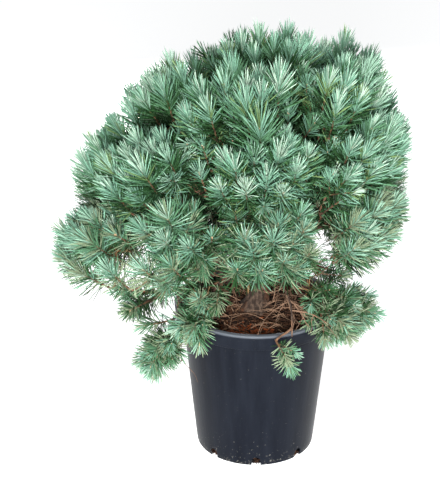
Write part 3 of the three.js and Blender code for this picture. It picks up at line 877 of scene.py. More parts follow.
def litter_rows(count, length, width, patch, rise, seed):
    """Rows for copies that lie on the compost, over all of it or round a patch, and inside the wall."""
    chance = np.random.default_rng(seed)
    inner = inner_radius(COMPOST["edge_height"]) - LIE["from_wall"]
    rows = []
    while len(rows) < count:
        turn, reach = chance.uniform(0, 2 * math.pi), inner * math.sqrt(chance.random())
        spot = Vector((reach * math.cos(turn), reach * math.sin(turn), 0))
        if patch:
            centre, spread = patch
            spot = Vector((*(np.array(centre) + chance.normal(0, 1, 2) * spread), 0))
        heading = chance.uniform(0, 2 * math.pi)
        points = Vector((math.cos(heading), math.sin(heading), chance.uniform(*rise))).normalized()
        long = chance.uniform(*length)
        end = spot + points * long
        if max(math.hypot(spot.x, spot.y), math.hypot(end.x, end.y)) > inner:
            continue
        spot.z = compost_height(spot.x * MM, spot.y * MM) + LIE["lift"]
        rows.append((*spot, *points, long, chance.uniform(*width)))
    return rows


def litter(name, piece, material, count, length, width, patch=None, rise=(-0.1, 0.25), seed=1):
    made = set_copies(name, piece, material, litter_rows(count, length, width, patch, rise, seed), seed)
    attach(made, "root")
    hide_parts("compost")
    print(name, "has", count, "pieces")


chip_bark, chip_shader = finish("bark chips", roughness=0.9, specular=0.2)
grain = add_drift(
    chip_bark, (0.009, 0.0038, 0.002), (0.062, 0.027, 0.0135), grain=90, share=0.52, softness=0.12
)
colour_from(chip_bark, chip_shader, grain)
rust, _ = finish("rusty bark", (0.15, 0.036, 0.01), roughness=0.9, specular=0.2)
dead, _ = finish("dead needles", (0.098, 0.045, 0.021), roughness=0.8, specular=0.25)
pale, _ = finish("bleached rootlets", (0.185, 0.11, 0.068), roughness=0.8, specular=0.25)
litter("bark_chips", chip, chip_bark, 800, (7, 17), (4, 10), seed=2)
litter("rusty_chips", chip, rust, 380, (5, 12), (3, 6), patch=((-45, -136), (58, 24)), seed=3)
litter("dead_needles", straw, dead, 340, (28, 52), (1.1, 1.7), rise=(-0.04, 0.2), seed=4)
litter("rootlets", curl, pale, 160, (34, 80), (1.6, 3.2), rise=(-0.02, 0.36), seed=5)

# %% Crumbs in the drainage holes
# Sizes in millimetres. The lowest crumb lies clear of the ground, and all of them point upwards.
CRUMBS = {"each": 34, "spread": 0.035, "depth": (4, 12), "height": (2.2, 13)}
CRUMBS.update({"length": (3, 6), "width": (2, 4)})


def crumb_rows():
    chance = np.random.default_rng(6)
    rows = []
    for hole in range(POT["hole_count"]):
        for _ in range(CRUMBS["each"]):
            turn = 2 * math.pi * hole / POT["hole_count"] + chance.normal(0, CRUMBS["spread"])
            reach = POT["base_radius"] - chance.uniform(*CRUMBS["depth"])
            heading = Vector(chance.normal(0, 1, 3)).normalized()
            heading.z = abs(heading.z)
            spot = (reach * math.cos(turn), reach * math.sin(turn), chance.uniform(*CRUMBS["height"]))
            length = chance.uniform(*CRUMBS["length"])
            rows.append((*spot, *heading, length, chance.uniform(*CRUMBS["width"])))
    return rows


crumbs_piece = set_copies("crumbs_in_holes", chip, chip_bark, crumb_rows(), seed=6)
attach(crumbs_piece, "root")
for spare in (chip, curl, straw):
    bpy.data.objects.remove(spare)
print("the drainage holes have", POT["hole_count"] * CRUMBS["each"], "crumbs")

# %% [markdown]
# ## Trunk and boughs
# The bark of a young pine is grey-brown and flaking. A plain tapered tube would look like a pipe, so each
# limb is a fine tube whose skin is pushed in and out by noise that is stretched along the limb.

# %% A tube along a line of points
NEARLY_IN_LINE = 0.95


def tube(points, radii, sides, relief=None):
    """Corners and faces of a closed tube; relief gives a factor on the radius for a place on the skin."""
    points = [Vector(point) for point in points]
    last = len(points) - 1
    side = Vector((1, 0, 0))
    corners, faces = [], []
    for ring, point in enumerate(points):
        heading = (points[min(ring + 1, last)] - points[max(ring - 1, 0)]).normalized()
        if abs(side.dot(heading)) > NEARLY_IN_LINE:
            side = Vector((0, 1, 0))
        side = (side - heading * side.dot(heading)).normalized()
        other = heading.cross(side)
        for corner in range(sides):
            turn = 2 * math.pi * corner / sides
            out = side * math.cos(turn) + other * math.sin(turn)
            radius = radii[ring] * (relief(point + out * radii[ring], turn) if relief else 1)
            corners.append(point + out * radius)
    for ring in range(last):
        for corner in range(sides):
            a = ring * sides + corner
            b = ring * sides + (corner + 1) % sides
            faces.append((a, b, b + sides, a + sides))
    faces.append(tuple(reversed(range(sides))))
    faces.append(tuple(range(last * sides, (last + 1) * sides)))
    return corners, faces


def join_parts(parts):
    """One list of corners and one of faces from several."""
    corners, faces = [], []
    for some_corners, some_faces in parts:
        faces += [tuple(i + len(corners) for i in face) for face in some_faces]
        corners += some_corners
    return corners, faces


def in_metres(points):
    return [point * MM for point in points]


def even_shares(steps):
    return [i / steps for i in range(steps + 1)]


_, short_faces = tube([(0, 0, 0), (0, 0, 1), (0, 0, 2)], (1, 1, 1), 6)
print("a tube of three rings and six sides has", len(short_faces), "faces")

# %% The limbs
# For the bark of each kind of limb, how fine its flakes are and how deep, as a share of the radius.
RELIEF = {"trunk": (55, 0.07), "bough": (85, 0.13), "stem": (120, 0.12)}
# Flakes are drawn out along the limb, and each limb's noise is cut at a place of its own.
FLAKES = {"along": 0.45, "apart": 7, "layers": (0.8, 2.2, 4)}
TRUNK_TUBE = {"sunk": 16, "steps": 150, "finer_low": 1.25, "sides": 56, "lobes_fade": 18}
BOUGH_TUBE = {"steps": 44, "sides": 18, "taper": 0.8}
# The solids keep a stout tip, which a real bough of this age doesn't have.
TIP_RADIUS = 3.6
# A bough that feeds this many shoots is as stout as its radii say, and one with few is thinner.
FULL_BOUGH = 8
THINNEST = 0.2


def bark_relief(grain, depth, seed):
    """A function for the factor on a limb's radius at a place; the seed gives each limb flakes of its own."""

    def relief(place, turn):
        along = place.z * grain * FLAKES["along"] + seed * FLAKES["apart"]
        return 1 + depth * noise.fractal(Vector((place.x * grain, place.y * grain, along)), *FLAKES["layers"])

    return relief


def trunk_part():
    """The trunk with its root lobes. Its rings lie closer together low down, where the root flare is."""
    crest, steps = COMPOST["crest_height"], TRUNK_TUBE["steps"]
    foot = crest - TRUNK_TUBE["sunk"]
    shares = [(i / steps) ** TRUNK_TUBE["finer_low"] for i in range(steps + 1)]
    heights = [lerp(foot, TRUNK["tip_height"], share) for share in shares]
    bark = bark_relief(*RELIEF["trunk"], 0)

    def relief(place, turn):
        fading = math.exp(-max(place.z / MM - crest, 0) / TRUNK_TUBE["lobes_fade"])
        return bark(place, turn) + TRUNK["lobe_depth"] * math.cos(TRUNK["lobes"] * turn) * fading

    radii = [trunk_radius(max(height, crest)) * MM for height in heights]
    points = in_metres([trunk_point(height) for height in heights])
    return tube(points, radii, TRUNK_TUBE["sides"], relief)


def stoutness(mass):
    """A limb that feeds few shoots is thinner."""
    return lerp(THINNEST, 1, math.sqrt(min(len(mass["shoots"]) / FULL_BOUGH, 1)))


def bough_part(mass):
    shares, stout = even_shares(BOUGH_TUBE["steps"]), stoutness(mass)
    tapers = [share ** BOUGH_TUBE["taper"] for share in shares]
    radii = [lerp(mass["bough_radius"], TIP_RADIUS, taper) * stout * MM for taper in tapers]
    points = in_metres([bezier(mass["bough"], share) for share in shares])
    return tube(points, radii, BOUGH_TUBE["sides"], bark_relief(*RELIEF["bough"], mass["number"]))


limb_parts = [trunk_part()] + [bough_part(mass) for mass in masses if "bough" in mass]
print(len(limb_parts), "limbs are worked out")

# %% The limbs get their bark
bark, bark_shader = finish("flaking bark", roughness=0.9, specular=0.25)
flakes = add_drift(
    bark, (0.02, 0.012, 0.0085), (0.09, 0.06, 0.042), grain=110, stretch_up=0.5, share=0.54, softness=0.1
)
warm = add_drift(bark, flakes.outputs["Colour"], (0.09, 0.036, 0.017), grain=22, share=0.6, softness=0.08)
colour_from(bark, bark_shader, warm)
add_bump(bark, bark_shader, flakes.outputs["Mask"], depth=0.0012)
limbs = mesh_object("trunk_and_boughs", *join_parts(limb_parts), bark)
smooth(limbs)
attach(limbs, "root")
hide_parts(*limb_nodes)
print("trunk and boughs have", len(limbs.data.polygons), "faces")

# %% [markdown]
# ## Lines of the twigs
# A mass hangs on one stem that goes on from its bough. Every shoot leaves the stem as a twig that bends
# from the stem's direction to its own, and goes on as the axis of a brush. The lines are worked out first,
# so that shoots can be left out where they would meet the pot, and only the rest are skinned.

# %% Lines of the stems and shoots
TWIG_BEND = 0.38


def cubic(start, control, other, end, share):
    """A point on a curve that is given by its start, two control points and its end."""
    rest = 1 - share
    ends = start * rest**3 + end * share**3
    return ends + control * (3 * rest * rest * share) + other * (3 * rest * share * share)


def twig_line(mass, shoot):
    """From the fork on the stem to the foot of the brush, leaving along the stem and arriving in line."""
    foot = shoot["bud"] - shoot["points"] * SHOOT["length"]
    place = lerp(STEM["last_fork"], STEM["first_fork"], shoot["share"])
    fork, heading = bezier(mass["stem"], place), bezier_heading(mass["stem"], place)
    reach = (foot - fork).length * TWIG_BEND
    leave = (heading + (foot - fork).normalized()).normalized()
    return fork, fork + leave * reach, foot - shoot["points"] * reach, foot


def clear_of_pot(point, margin):
    """True over the rim and outside the pot, by a margin."""
    if point.z > POT["height"] + margin:
        return True
    band = point.z > POT["height"] - POT["band_height"] - margin
    outline = POT["rim_radius"] if band else wall_radius(max(point.z, 0))
    return math.hypot(point.x, point.y) > outline + margin


def aside_from(axis, turn, lean):
    """A direction that leans away from an axis by an angle, on the side that the turn gives."""
    across, upward = square_to(axis)
    aside = across * math.cos(turn) + upward * math.sin(turn)
    return axis * math.cos(lean) + aside * math.sin(lean)


fork, _, _, foot = twig_line(masses[0], masses[0]["shoots"][0])
print("the leader's first twig spans", round((foot - fork).length), "mm")

# %% [markdown]
# ## Shoots that the solids leave out
# The solids stop at the outer shoots, to stay light. A real crown has more of them: up to three shorter
# shoots of the same whorl beside an outer one, older shoots behind, and short ones inside on the boughs.
# Without these one would look straight through the dome. They are planned here by the same kind of rule.

# %% Sizes of these shoots
# How often and how many side shoots a whorl has, how far they lean, how long they are, where they start.
SIDE = {
    "often": 0.4,
    "most": 2,
    "lean": (32, 55),
    "length": 52,
    "lengths": (0.75, 1.15),
    "sizes": (0.85, 1.05),
    "back": 14,
    "uplift": 0.12,
}
INNER = {"shoots": 9, "across": 165, "upward": 112, "depth": (0.76, 0.86), "wander": 0.35}
# The patch of the inner shoots is laid out at this distance from the middle of the dome.
INNER_RADIUS = 435
# The inside shoots leave the bough upwards or a little below level, as far as "below" says, in radians.
INSIDE = {
    "shoots": 9,
    "from": 0.25,
    "below": 0.6,
    "lean": (30, 75),
    "aside": 1.5,
    "twig": (16, 34),
    "bend": 0.35,
    "length": 60,
    "uplift": 0.15,
}
# These masses at the back carry more, so that no light comes through from behind.
BEHIND = ("lower_6", "lower_7", "lower_8", "middle_4", "middle_5")
MORE_BEHIND = 5
# Outside the dome, low on the plant, the brushes are smaller and their whorls fuller.
LOW = {"size": 0.84, "often": 0.9, "most": 3, "shoots": 3, "from": 0.62, "sprig_size": 0.62}
# The numbers of inner and inside shoots start here, after those of the outer ones.
FIRST_INNER, FIRST_INSIDE = DOME_MASS["shoots"], 40
# Room for the needles past a bud, and between a shoot and the pot.
NEEDLE_ROOM = 30
SHOOT_MARGIN = {"side": 4, "inside": 6}
print("a mass has", INNER["shoots"], "inner shoots and up to", INSIDE["shoots"] + MORE_BEHIND, "inside")

# %% Shoots beside, behind and inside
def side_shoots(mass, shoot, chance):
    """Shorter shoots of the same whorl, which turn aside from the main one."""
    most = (SIDE if "direction" in mass else LOW)["most"]
    found = []
    for _ in range(chance.integers(1, most + 1)):
        turn = chance.uniform(0, 2 * math.pi)
        lean = math.radians(chance.uniform(*SIDE["lean"]))
        points = (aside_from(shoot["points"], turn, lean) + UP * SIDE["uplift"]).normalized()
        foot = shoot["foot"] - shoot["points"] * chance.uniform(0, SIDE["back"])
        length = SIDE["length"] * chance.uniform(*SIDE["lengths"])
        bud = foot + points * length
        if clear_of_pot(bud + points * NEEDLE_ROOM, SHOOT_MARGIN["side"]):
            found.append({"foot": foot, "bud": bud, "points": points, "length": length})
    return found


def inner_shoots(mass):
    """Older shoots behind the outer ones on the dome, spread over a little more than the mass's own patch."""
    if "direction" not in mass:
        return []
    across, upward = square_to(mass["direction"])
    found = []
    for k in range(INNER["shoots"]):
        chance = np.random.default_rng([mass["number"], k, 3])
        u, v = sunflower(k, INNER["shoots"])
        aside = mass["direction"] + across * (u * INNER["across"] / INNER_RADIUS)
        aside += upward * (v * INNER["upward"] / INNER_RADIUS)
        bud = dome_point(aside.normalized(), mass["stretch"] * chance.uniform(*INNER["depth"]))
        wander = Vector(chance.uniform(-INNER["wander"], INNER["wander"], 3))
        points = (dome_normal(aside) + UP * SHOOT["uplift"] + wander).normalized()
        found.append({"number": FIRST_INNER + k, "bud": bud, "points": points, "share": math.hypot(u, v)})
    return found


def bough_shoots(mass):
    """Short shoots that leave the outer part of a bough and fill the inside of the crown."""
    if "bough" not in mass or len(mass["shoots"]) == 1:
        return []
    plan, found = INSIDE if "direction" in mass else LOW, []
    count = plan["shoots"] + (MORE_BEHIND if mass["name"] in BEHIND else 0)
    for k in range(count):
        chance = np.random.default_rng([mass["number"], k, 4])
        place = lerp(plan["from"], 1, (k + chance.random()) / count)
        fork, heading = bezier(mass["bough"], place), bezier_heading(mass["bough"], place)
        turn = chance.uniform(-INSIDE["below"], math.pi + INSIDE["below"])
        lean = math.radians(chance.uniform(*INSIDE["lean"]))
        points = (aside_from(heading, turn, lean) + UP * INSIDE["uplift"]).normalized()
        foot = fork + (heading + points * INSIDE["aside"]) * chance.uniform(*INSIDE["twig"])
        bend = (foot - fork).length * INSIDE["bend"]
        line = (fork, fork + (heading + points).normalized() * bend, foot - points * bend, foot)
        bud = foot + points * INSIDE["length"]
        margin = SHOOT_MARGIN["inside"]
        if clear_of_pot(bud + points * NEEDLE_ROOM, margin) and clear_of_pot(foot, margin):
            found.append({"number": FIRST_INSIDE + k, "bud": bud, "points": points, "line": line, "share": 1})
    return found


behind, inside = inner_shoots(masses[1]), bough_shoots(masses[1])
print("the mass", masses[1]["name"], "has", len(behind), "inner shoots and", len(inside), "inside")

# %% [markdown]
# ## One brush for each shoot
# The brushes differ: upright ones on the dome, flat rosettes on its lowest ring, open stars on the boughs
# that hang in the shade. A few strong shoots grew much larger. Low at the sides many shoots have died for
# want of light, and the sky shows through. Chance alone wouldn't leave gaps in the right places, so the
# masses that stand in the shade and the shoots that have died are named.

# %% Sizes of the brushes, and the shoots that have died
SIZES = (0.84, 1.06)
SHORTEST = 0.92
# The brushes in the middle of a mass are larger than those round its edge.
MIDDLE_LARGER = 0.24
# A few strong shoots at the front carry larger brushes, up to half as large again as the others.
STRONG = {
    ("middle_1", 6): 1.6,
    ("middle_1", 0): 1.4,
    ("middle_7", 5): 1.42,
    ("upper_1", 8): 1.24,
    ("upper_1", 10): 1.36,
    ("lower_2", 11): 1.42,
}
# In these masses every second outer shoot and all the others have died, up to a height.
SHADED = ("lower_1", "lower_2", "lower_4", "lower_5", "left", "back_right")
LIVE_ABOVE = 575
# Two gaps go right through the crown, left and right of its front, where these shoots have died.
DIED = {
    "lower_2": (1, 4, 9, 17, 48),
    "lower_3": (8, 21),
    "lower_4": (17, 42),
    "lower_5": (40,),
    "lower_6": (20, 43, 45),
    "lower_8": (12, 13, 17, 20, 47, 48),
    "back_right": (0, 6),
}
print(len(STRONG), "shoots are strong, and", sum(len(some) for some in DIED.values()), "named ones have died")

# %% Planning the brushes
def brush_kind(mass):
    """Upright brushes on the dome, rosettes on its lowest ring, open stars on the boughs that hang."""
    if mass["name"].startswith("lower"):
        return "rosette"
    if "direction" in mass:
        return "main"
    return "low" if len(mass["shoots"]) > 1 else "sprig"


def brush_size(mass, shoot, kind, chance):
    size = chance.uniform(*SIZES)
    if "direction" not in mass:
        return size * (LOW["size"] if len(mass["shoots"]) > 1 else LOW["sprig_size"])
    if kind == "main" and mass["name"] != "top":
        size += MIDDLE_LARGER * (1 - shoot["share"])
        return STRONG.get((mass["name"], shoot["number"]), size)
    return size


def plan_brush(mass, shoot, kind, chance):
    """Completes a shoot with its line, size, length and kind, from its foot on."""
    shoot["line"] = shoot.get("line") or twig_line(mass, shoot)
    shoot["foot"] = shoot["line"][3]
    shoot["size"] = brush_size(mass, shoot, kind, chance)
    full_length = INSIDE["length"] if kind == "inside" else SHOOT["length"]
    shoot["bud"] = shoot["foot"] + shoot["points"] * (full_length * max(shoot["size"], SHORTEST))
    shoot["length"] = (shoot["bud"] - shoot["foot"]).length
    shoot["kind"] = brush_kind(mass) if kind == "main" else kind


def plan_mass(mass):
    """The living shoots of a mass, each followed by its side shoots."""
    planned = [(shoot, "main") for shoot in mass["shoots"]]
    planned += [(shoot, "inner") for shoot in inner_shoots(mass)]
    planned += [(shoot, "inside") for shoot in bough_shoots(mass)]
    side_kind, often = ("side", SIDE["often"]) if "direction" in mass else ("low_side", LOW["often"])
    found = []
    for shoot, kind in planned:
        chance = np.random.default_rng([mass["number"], shoot["number"]])
        plan_brush(mass, shoot, kind, chance)
        shaded = mass["name"] in SHADED and shoot["bud"].z < LIVE_ABOVE
        died = shoot["number"] in DIED.get(mass["name"], ())
        if died or shaded and (kind != "main" or shoot["number"] % 2):
            continue
        found.append((mass, shoot))
        if kind == "main" and not shaded and chance.random() < often:
            for side in side_shoots(mass, shoot, chance):
                size = shoot["size"] * chance.uniform(*SIDE["sizes"])
                found.append((mass, {**side, "kind": side_kind, "line": None, "size": size}))
    return found


brushes = [brush for mass in masses for brush in plan_mass(mass)]
for kind in ("main", "rosette", "low", "sprig", "side", "low_side", "inner", "inside"):
    print(sum(shoot["kind"] == kind for _, shoot in brushes), kind, "brushes")

# %% [markdown]
# ## Dead twigs
# In the shade under the crown a pine's twigs lose their needles and stay on for years, thin, bare and
# crooked. They could be modelled one by one, but a short random walk makes any number of them: each step
# turns a little by chance, and a few branchlets leave it by the same walk.

# %% Sizes of the dead twigs
DEAD = {
    "dome": 4,
    "low": 9,
    "from": (0.25, 0.98),
    "under": (0.9, 2.1),
    "along": (0.3, 1.3),
    "length": (45, 125),
    "radius": (1.1, 1.9),
    "steps": 6,
    "sides": 5,
    "wander": 0.24,
    "taper": 0.45,
}
BRANCHLETS = {"count": 3, "aside": 0.8, "length": (0.3, 0.6), "radius": 0.6}
FREE = {"pot": 3, "wall": 8, "compost": 4}
print("a dead twig has", DEAD["steps"], "steps and", BRANCHLETS["count"], "branchlets")

# %% Bare twigs under the boughs
def is_free(point):
    """Outside the pot's wall, or over the compost and inside the rim."""
    inside = math.hypot(point.x, point.y) < inner_radius(COMPOST["edge_height"]) - FREE["wall"]
    over = point.z > COMPOST["crest_height"] + FREE["compost"]
    return clear_of_pot(point, FREE["pot"]) or (inside and over)


def crooked_twig(start, heading, length, radius, chance, branchlets):
    """A bare twig that wanders, as the tubes of its own line and of the branchlets that leave it."""
    points, headings, steps = [start], [heading], DEAD["steps"]
    for _ in range(steps):
        headings.append((headings[-1] + Vector(chance.normal(0, DEAD["wander"], 3))).normalized())
        points.append(points[-1] + headings[-1] * (length / steps))
    if not all(is_free(point) for point in points[1:]):
        return []
    radii = [lerp(radius, radius * DEAD["taper"], share) * MM for share in even_shares(steps)]
    parts = [tube(in_metres(points), radii, DEAD["sides"])]
    for _ in range(branchlets):
        step = chance.integers(1, steps)
        aside = (headings[step] + Vector(chance.normal(0, BRANCHLETS["aside"], 3))).normalized()
        shorter = length * chance.uniform(*BRANCHLETS["length"])
        parts += crooked_twig(points[step], aside, shorter, radius * BRANCHLETS["radius"], chance, 0)
    return parts


def dead_twigs(mass):
    """Bare twigs that lost their needles in the shade, on the lower side of a bough."""
    if "bough" not in mass:
        return []
    parts = []
    for k in range(DEAD["dome" if "direction" in mass else "low"]):
        chance = np.random.default_rng([mass["number"], k, 6])
        place = chance.uniform(*DEAD["from"])
        fork, heading = bezier(mass["bough"], place), bezier_heading(mass["bough"], place)
        across, upward = square_to(heading)
        turn = chance.uniform(*DEAD["under"]) * math.pi
        aside = across * math.cos(turn) + upward * math.sin(turn)
        along = (heading * chance.uniform(*DEAD["along"]) + aside).normalized()
        length, radius = chance.uniform(*DEAD["length"]), chance.uniform(*DEAD["radius"])
        parts += crooked_twig(fork, along, length, radius, chance, BRANCHLETS["count"])
    return parts


dry, dry_shader = finish("dry twigs", roughness=0.85, specular=0.2)
weathered = add_drift(dry, (0.045, 0.025, 0.016), (0.21, 0.125, 0.078), grain=30, share=0.5, softness=0.2)
colour_from(dry, dry_shader, weathered)
bare = mesh_object("dead_twigs", *join_parts([part for mass in masses for part in dead_twigs(mass)]), dry)
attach(bare, "root")
print("dead twigs have", len(bare.data.polygons), "faces")

# %% [markdown]
# ## Stems and living twigs
# Under the needles the young wood is brown and thin. Nodes could draw a tube along each line, but the tubes
# of the limbs do as well here, so every stem and twig is one of them, and all are joined into one mesh.

# %% The skins of the stems and twigs
# Radii in millimetres: along a twig, and along a main shoot or a side shoot from its foot to its bud.
TWIG_RADII = (2.9, 2.5)
SHOOT_RADII = {"main": (2.6, 2.2, 1.5), "side": (2.1, 1.7, 1.1)}
STEM_END_RADIUS = 2.6
TWIG_TUBE, STEM_TUBE = {"steps": 8, "sides": 6}, {"steps": 10, "sides": 10}
# A brush's axis starts just inside the twig's end.
AXIS_SHARES = (-0.02, 0.5, 1)


def is_side(shoot):
    return shoot["kind"].endswith("side")


def twig_parts(shoot):
    """The twig up to the foot of a brush, where it has one of its own, and the brush's axis."""
    parts = []
    if shoot["line"]:
        shares = even_shares(TWIG_TUBE["steps"])
        points = [cubic(*shoot["line"], share) for share in shares]
        radii = [lerp(*TWIG_RADII, share) * MM for share in shares]
        parts.append(tube(in_metres(points), radii, TWIG_TUBE["sides"]))
    points = [shoot["foot"] + shoot["points"] * (shoot["length"] * share) for share in AXIS_SHARES]
    radii = [radius * MM for radius in SHOOT_RADII["side" if is_side(shoot) else "main"]]
    parts.append(tube(in_metres(points), radii, TWIG_TUBE["sides"]))
    return parts


def stem_part(mass):
    shares, stout = even_shares(STEM_TUBE["steps"]), stoutness(mass)
    points = [bezier(mass["stem"], share) for share in shares]
    radii = [lerp(TIP_RADIUS, STEM_END_RADIUS, share) * stout * MM for share in shares]
    return tube(in_metres(points), radii, STEM_TUBE["sides"], bark_relief(*RELIEF["stem"], mass["number"]))


twig_skin, twig_shader = finish("young bark", roughness=0.75, specular=0.3)
young = add_drift(twig_skin, (0.05, 0.026, 0.016), (0.16, 0.08, 0.04), grain=60, share=0.5, softness=0.14)
colour_from(twig_skin, twig_shader, young)
all_parts = [stem_part(mass) for mass in masses]
for _, shoot in brushes:
    all_parts += twig_parts(shoot)
twigs = mesh_object("stems_and_twigs", *join_parts(all_parts), twig_skin)
smooth(twigs)
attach(twigs, "root")
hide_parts(*needle_nodes)
print("stems and twigs have", len(twigs.data.polygons), "faces")

# %% [markdown]
# ## Needles
# A Scots pine's needles grow in pairs, all round the shoot. The lower ones stand out almost square to it
# and the upper ones point on past the bud, so a brush looks like a shaving brush. A hair system would be
# quick, but the export drops particles. One needle is a slim three-sided spike of a few faces, and the
# nodes set a copy of it on each row. Old needles stay on the twig behind.

# %% One needle and one bud
def needle_piece():
    """A needle one unit long and one unit across, along Z, nearly even in width up to its short point."""
    rings = ((0, 0.42), (0.82, 0.4))
    turns = [2 * math.pi * i / 3 for i in range(3)]
    corners = [(radius * math.cos(turn), radius * math.sin(turn), z) for z, radius in rings for turn in turns]
    corners.append((0, 0, 1))
    faces = [(0, 2, 1)]
    for i in range(3):
        j = (i + 1) % 3
        faces += [(i, j, 3 + j), (i, 3 + j, 3 + i), (3 + i, 3 + j, 6)]
    return mesh_object("needle", corners, faces)


def bud_piece():
    """An egg-shaped bud one unit long and across, along Z."""
    profile = [(0, 0), (0.3, 0.08), (0.48, 0.35), (0.36, 0.7), (0, 1)]
    return mesh_object("bud", *turn_profile(profile, 6))


needle, bud = needle_piece(), bud_piece()
print("a needle has", len(needle.data.polygons), "faces and a bud", len(bud.data.polygons))

# %% Directions of the needles on a brush
# The number of pairs, a needle's length in millimetres, how far it leans from the shoot in degrees at the
# foot and at the bud, and the share of the shoot that is bare.
BRUSH = {
    "main": (58, 60, (58, 12), 0.03),
    "rosette": (56, 57, (74, 15), 0.2),
    "low": (44, 55, (88, 20), 0.4),
    "sprig": (46, 66, (116, 26), 0.5),
    "side": (28, 52, (62, 14), 0.03),
    "low_side": (28, 50, (84, 20), 0.2),
    "inner": (38, 54, (66, 18), 0.03),
    "inside": (30, 50, (66, 18), 0.03),
    "old": (10, 42, (78, 58), 0.03),
}
# A brush over this size has more pairs, and all brushes have them a little closer towards the bud.
COMMON_SIZE = 1.2
CLOSER_UP = 0.9
# How far the two of a pair stand apart and how much each strays, in radians: round the shoot and from it.
ROUND = {"apart": 0.13, "stray": 0.05}
AWAY = {"apart": 0.06, "stray": 0.07}
ON_SKIN = 0.8
# A needle's length as a share: less at the foot and the bud, more in the middle, and what each one strays.
LENGTHS = {"ends": 0.84, "middle": 0.16, "hump": 1.1, "stray": (0.86, 1.07)}


def needles_round(axis, foot, length, kind, size, chance):
    """Roots, directions and lengths of the needles on a straight shoot, and the share of the way up."""
    pairs, needle_length, leans, bare = BRUSH[kind]
    pairs = round(pairs * max(1, size / COMMON_SIZE))
    climb = np.linspace(0, 1, pairs)
    share = np.repeat(lerp(bare, 1, climb**CLOSER_UP), 2)
    turn = np.repeat(np.arange(pairs) * GOLDEN_ANGLE + chance.uniform(0, 6.28), 2)
    turn += np.tile((-ROUND["apart"], ROUND["apart"]), pairs) + chance.normal(0, ROUND["stray"], 2 * pairs)
    lean = np.radians(lerp(*leans, np.repeat(climb, 2))) + chance.normal(0, AWAY["stray"], 2 * pairs)
    lean += np.tile((-AWAY["apart"], AWAY["apart"]), pairs)
    across, upward = square_to(axis)
    side = np.outer(np.cos(turn), across) + np.outer(np.sin(turn), upward)
    directions = np.cos(lean)[:, None] * np.array(axis) + np.sin(lean)[:, None] * side
    roots = np.array(foot) + np.outer(share * length, np.array(axis)) + side * ON_SKIN
    swell = LENGTHS["ends"] + LENGTHS["middle"] * np.sin(np.pi * np.minimum(share * LENGTHS["hump"], 1))
    lengths = needle_length * size * swell * chance.uniform(*LENGTHS["stray"], 2 * pairs)
    return roots, directions, lengths, share


most = max(pairs for pairs, *_ in BRUSH.values())
print("a brush of a common size has up to", most, "pairs of needles")

# %% [markdown]
# ## Colours of the needles
# The needles are blue-green and bloomed at the tips of the shoots and deep green at their feet, and some
# sprays stray to olive or grey. A pattern would fall anyhow on so many small pieces, so each spray of a few
# pairs gets one plain tint. The brush gives the tint's place in a row from pale to dark, and chance moves
# it a little. The pale end is partly the bloom and partly a painted highlight. The dark end, at the feet,
# inside the crown and low down, is partly deeper green and partly painted shade.

# %% The tints and where they belong
# From the palest to the darkest, and three that stray from that row. The pale end is partly bloom and
# partly painted highlight, and the darkest tint is partly deep green and partly painted shade.
TINTS = {
    "pale": (0.318, 0.43, 0.335),
    "mint": (0.21, 0.343, 0.252),
    "blue": (0.135, 0.27, 0.189),
    "green": (0.07, 0.165, 0.086),
    "deep": (0.021, 0.066, 0.021),
    "dark": (0.007, 0.022, 0.006),
    "olive": (0.125, 0.2, 0.075),
    "sage": (0.165, 0.215, 0.13),
    "straw": (0.2, 0.115, 0.05),
}
ROW = ("pale", "mint", "blue", "green", "deep", "dark")
# How deep in the row a kind of brush starts at its foot and ends at its bud. The darker tints at the feet,
# inside the crown and on low boughs are partly deeper green and partly painted shade.
TINT_AND_SHADE_DEPTHS = {
    "main": (5.3, 0.9),
    "rosette": (5.6, 1.1),
    "low": (6.3, 1.9),
    "sprig": (5.6, 2.2),
    "side": (4.8, 1.1),
    "low_side": (5.8, 1.8),
    "inner": (5.2, 1.8),
    "inside": (5.2, 2.4),
    "old": (5.0, 3.8),
}
# How much a whole brush and each of its sprays stray from that depth.
BRUSH_STRAY, SPRAY_STRAY = 0.3, 0.75
SPRAY_PAIRS = 4
# The stray tint of a spray and how often it comes, by the brushes of a mass.
ODD = {"main": ("olive", 0.05), "rosette": ("sage", 0.24), "low": ("sage", 0.3), "sprig": ("sage", 0.5)}
# In this share of the tufts of old needles some turn straw-coloured before they fall.
TURNING = 0.3
print(len(ROW), "tints lie in a row, and", len(TINTS) - len(ROW), "stray from it")

# %% Tints dealt out by spray
NEEDLE_MARGIN = 3
NEEDLE_WIDTH = 2.6
sprays = {tint: [] for tint in TINTS}


def clear_needles(tips):
    """True for the needles whose tips stay out of the pot's wall and the compost."""
    reach = np.hypot(tips[:, 0], tips[:, 1])
    band = tips[:, 2] > POT["height"] - POT["band_height"] - NEEDLE_MARGIN
    outline = np.where(band, POT["rim_radius"], wall_radius(tips[:, 2]))
    return (tips[:, 2] > POT["height"] + NEEDLE_MARGIN) | (reach > outline + NEEDLE_MARGIN)


def add_brush(axis, foot, length, kind, size, odd, chance):
    """Deals a tint to each spray of a few pairs, deeper, partly as painted shade, towards the brush's foot.
    """
    roots, directions, lengths, share = needles_round(axis, foot, length, kind, size, chance)
    clear = clear_needles(roots + directions * lengths[:, None])
    mood = chance.normal(0, BRUSH_STRAY)
    stray, often = ("straw", odd[1]) if kind == "old" and chance.random() < TURNING else odd
    rows = np.column_stack([roots, directions, lengths, np.full(len(share), NEEDLE_WIDTH)])
    per_spray = 2 * SPRAY_PAIRS
    for first in range(0, len(share), per_spray):
        # A deeper place in the row stands partly for painted shade.
        depth = lerp(*TINT_AND_SHADE_DEPTHS[kind], share[first]) + mood + chance.normal(0, SPRAY_STRAY)
        tint = stray if chance.random() < often else ROW[int(np.clip(round(depth), 0, len(ROW) - 1))]
        some = slice(first, first + per_spray)
        sprays[tint].append(rows[some][clear[some]])


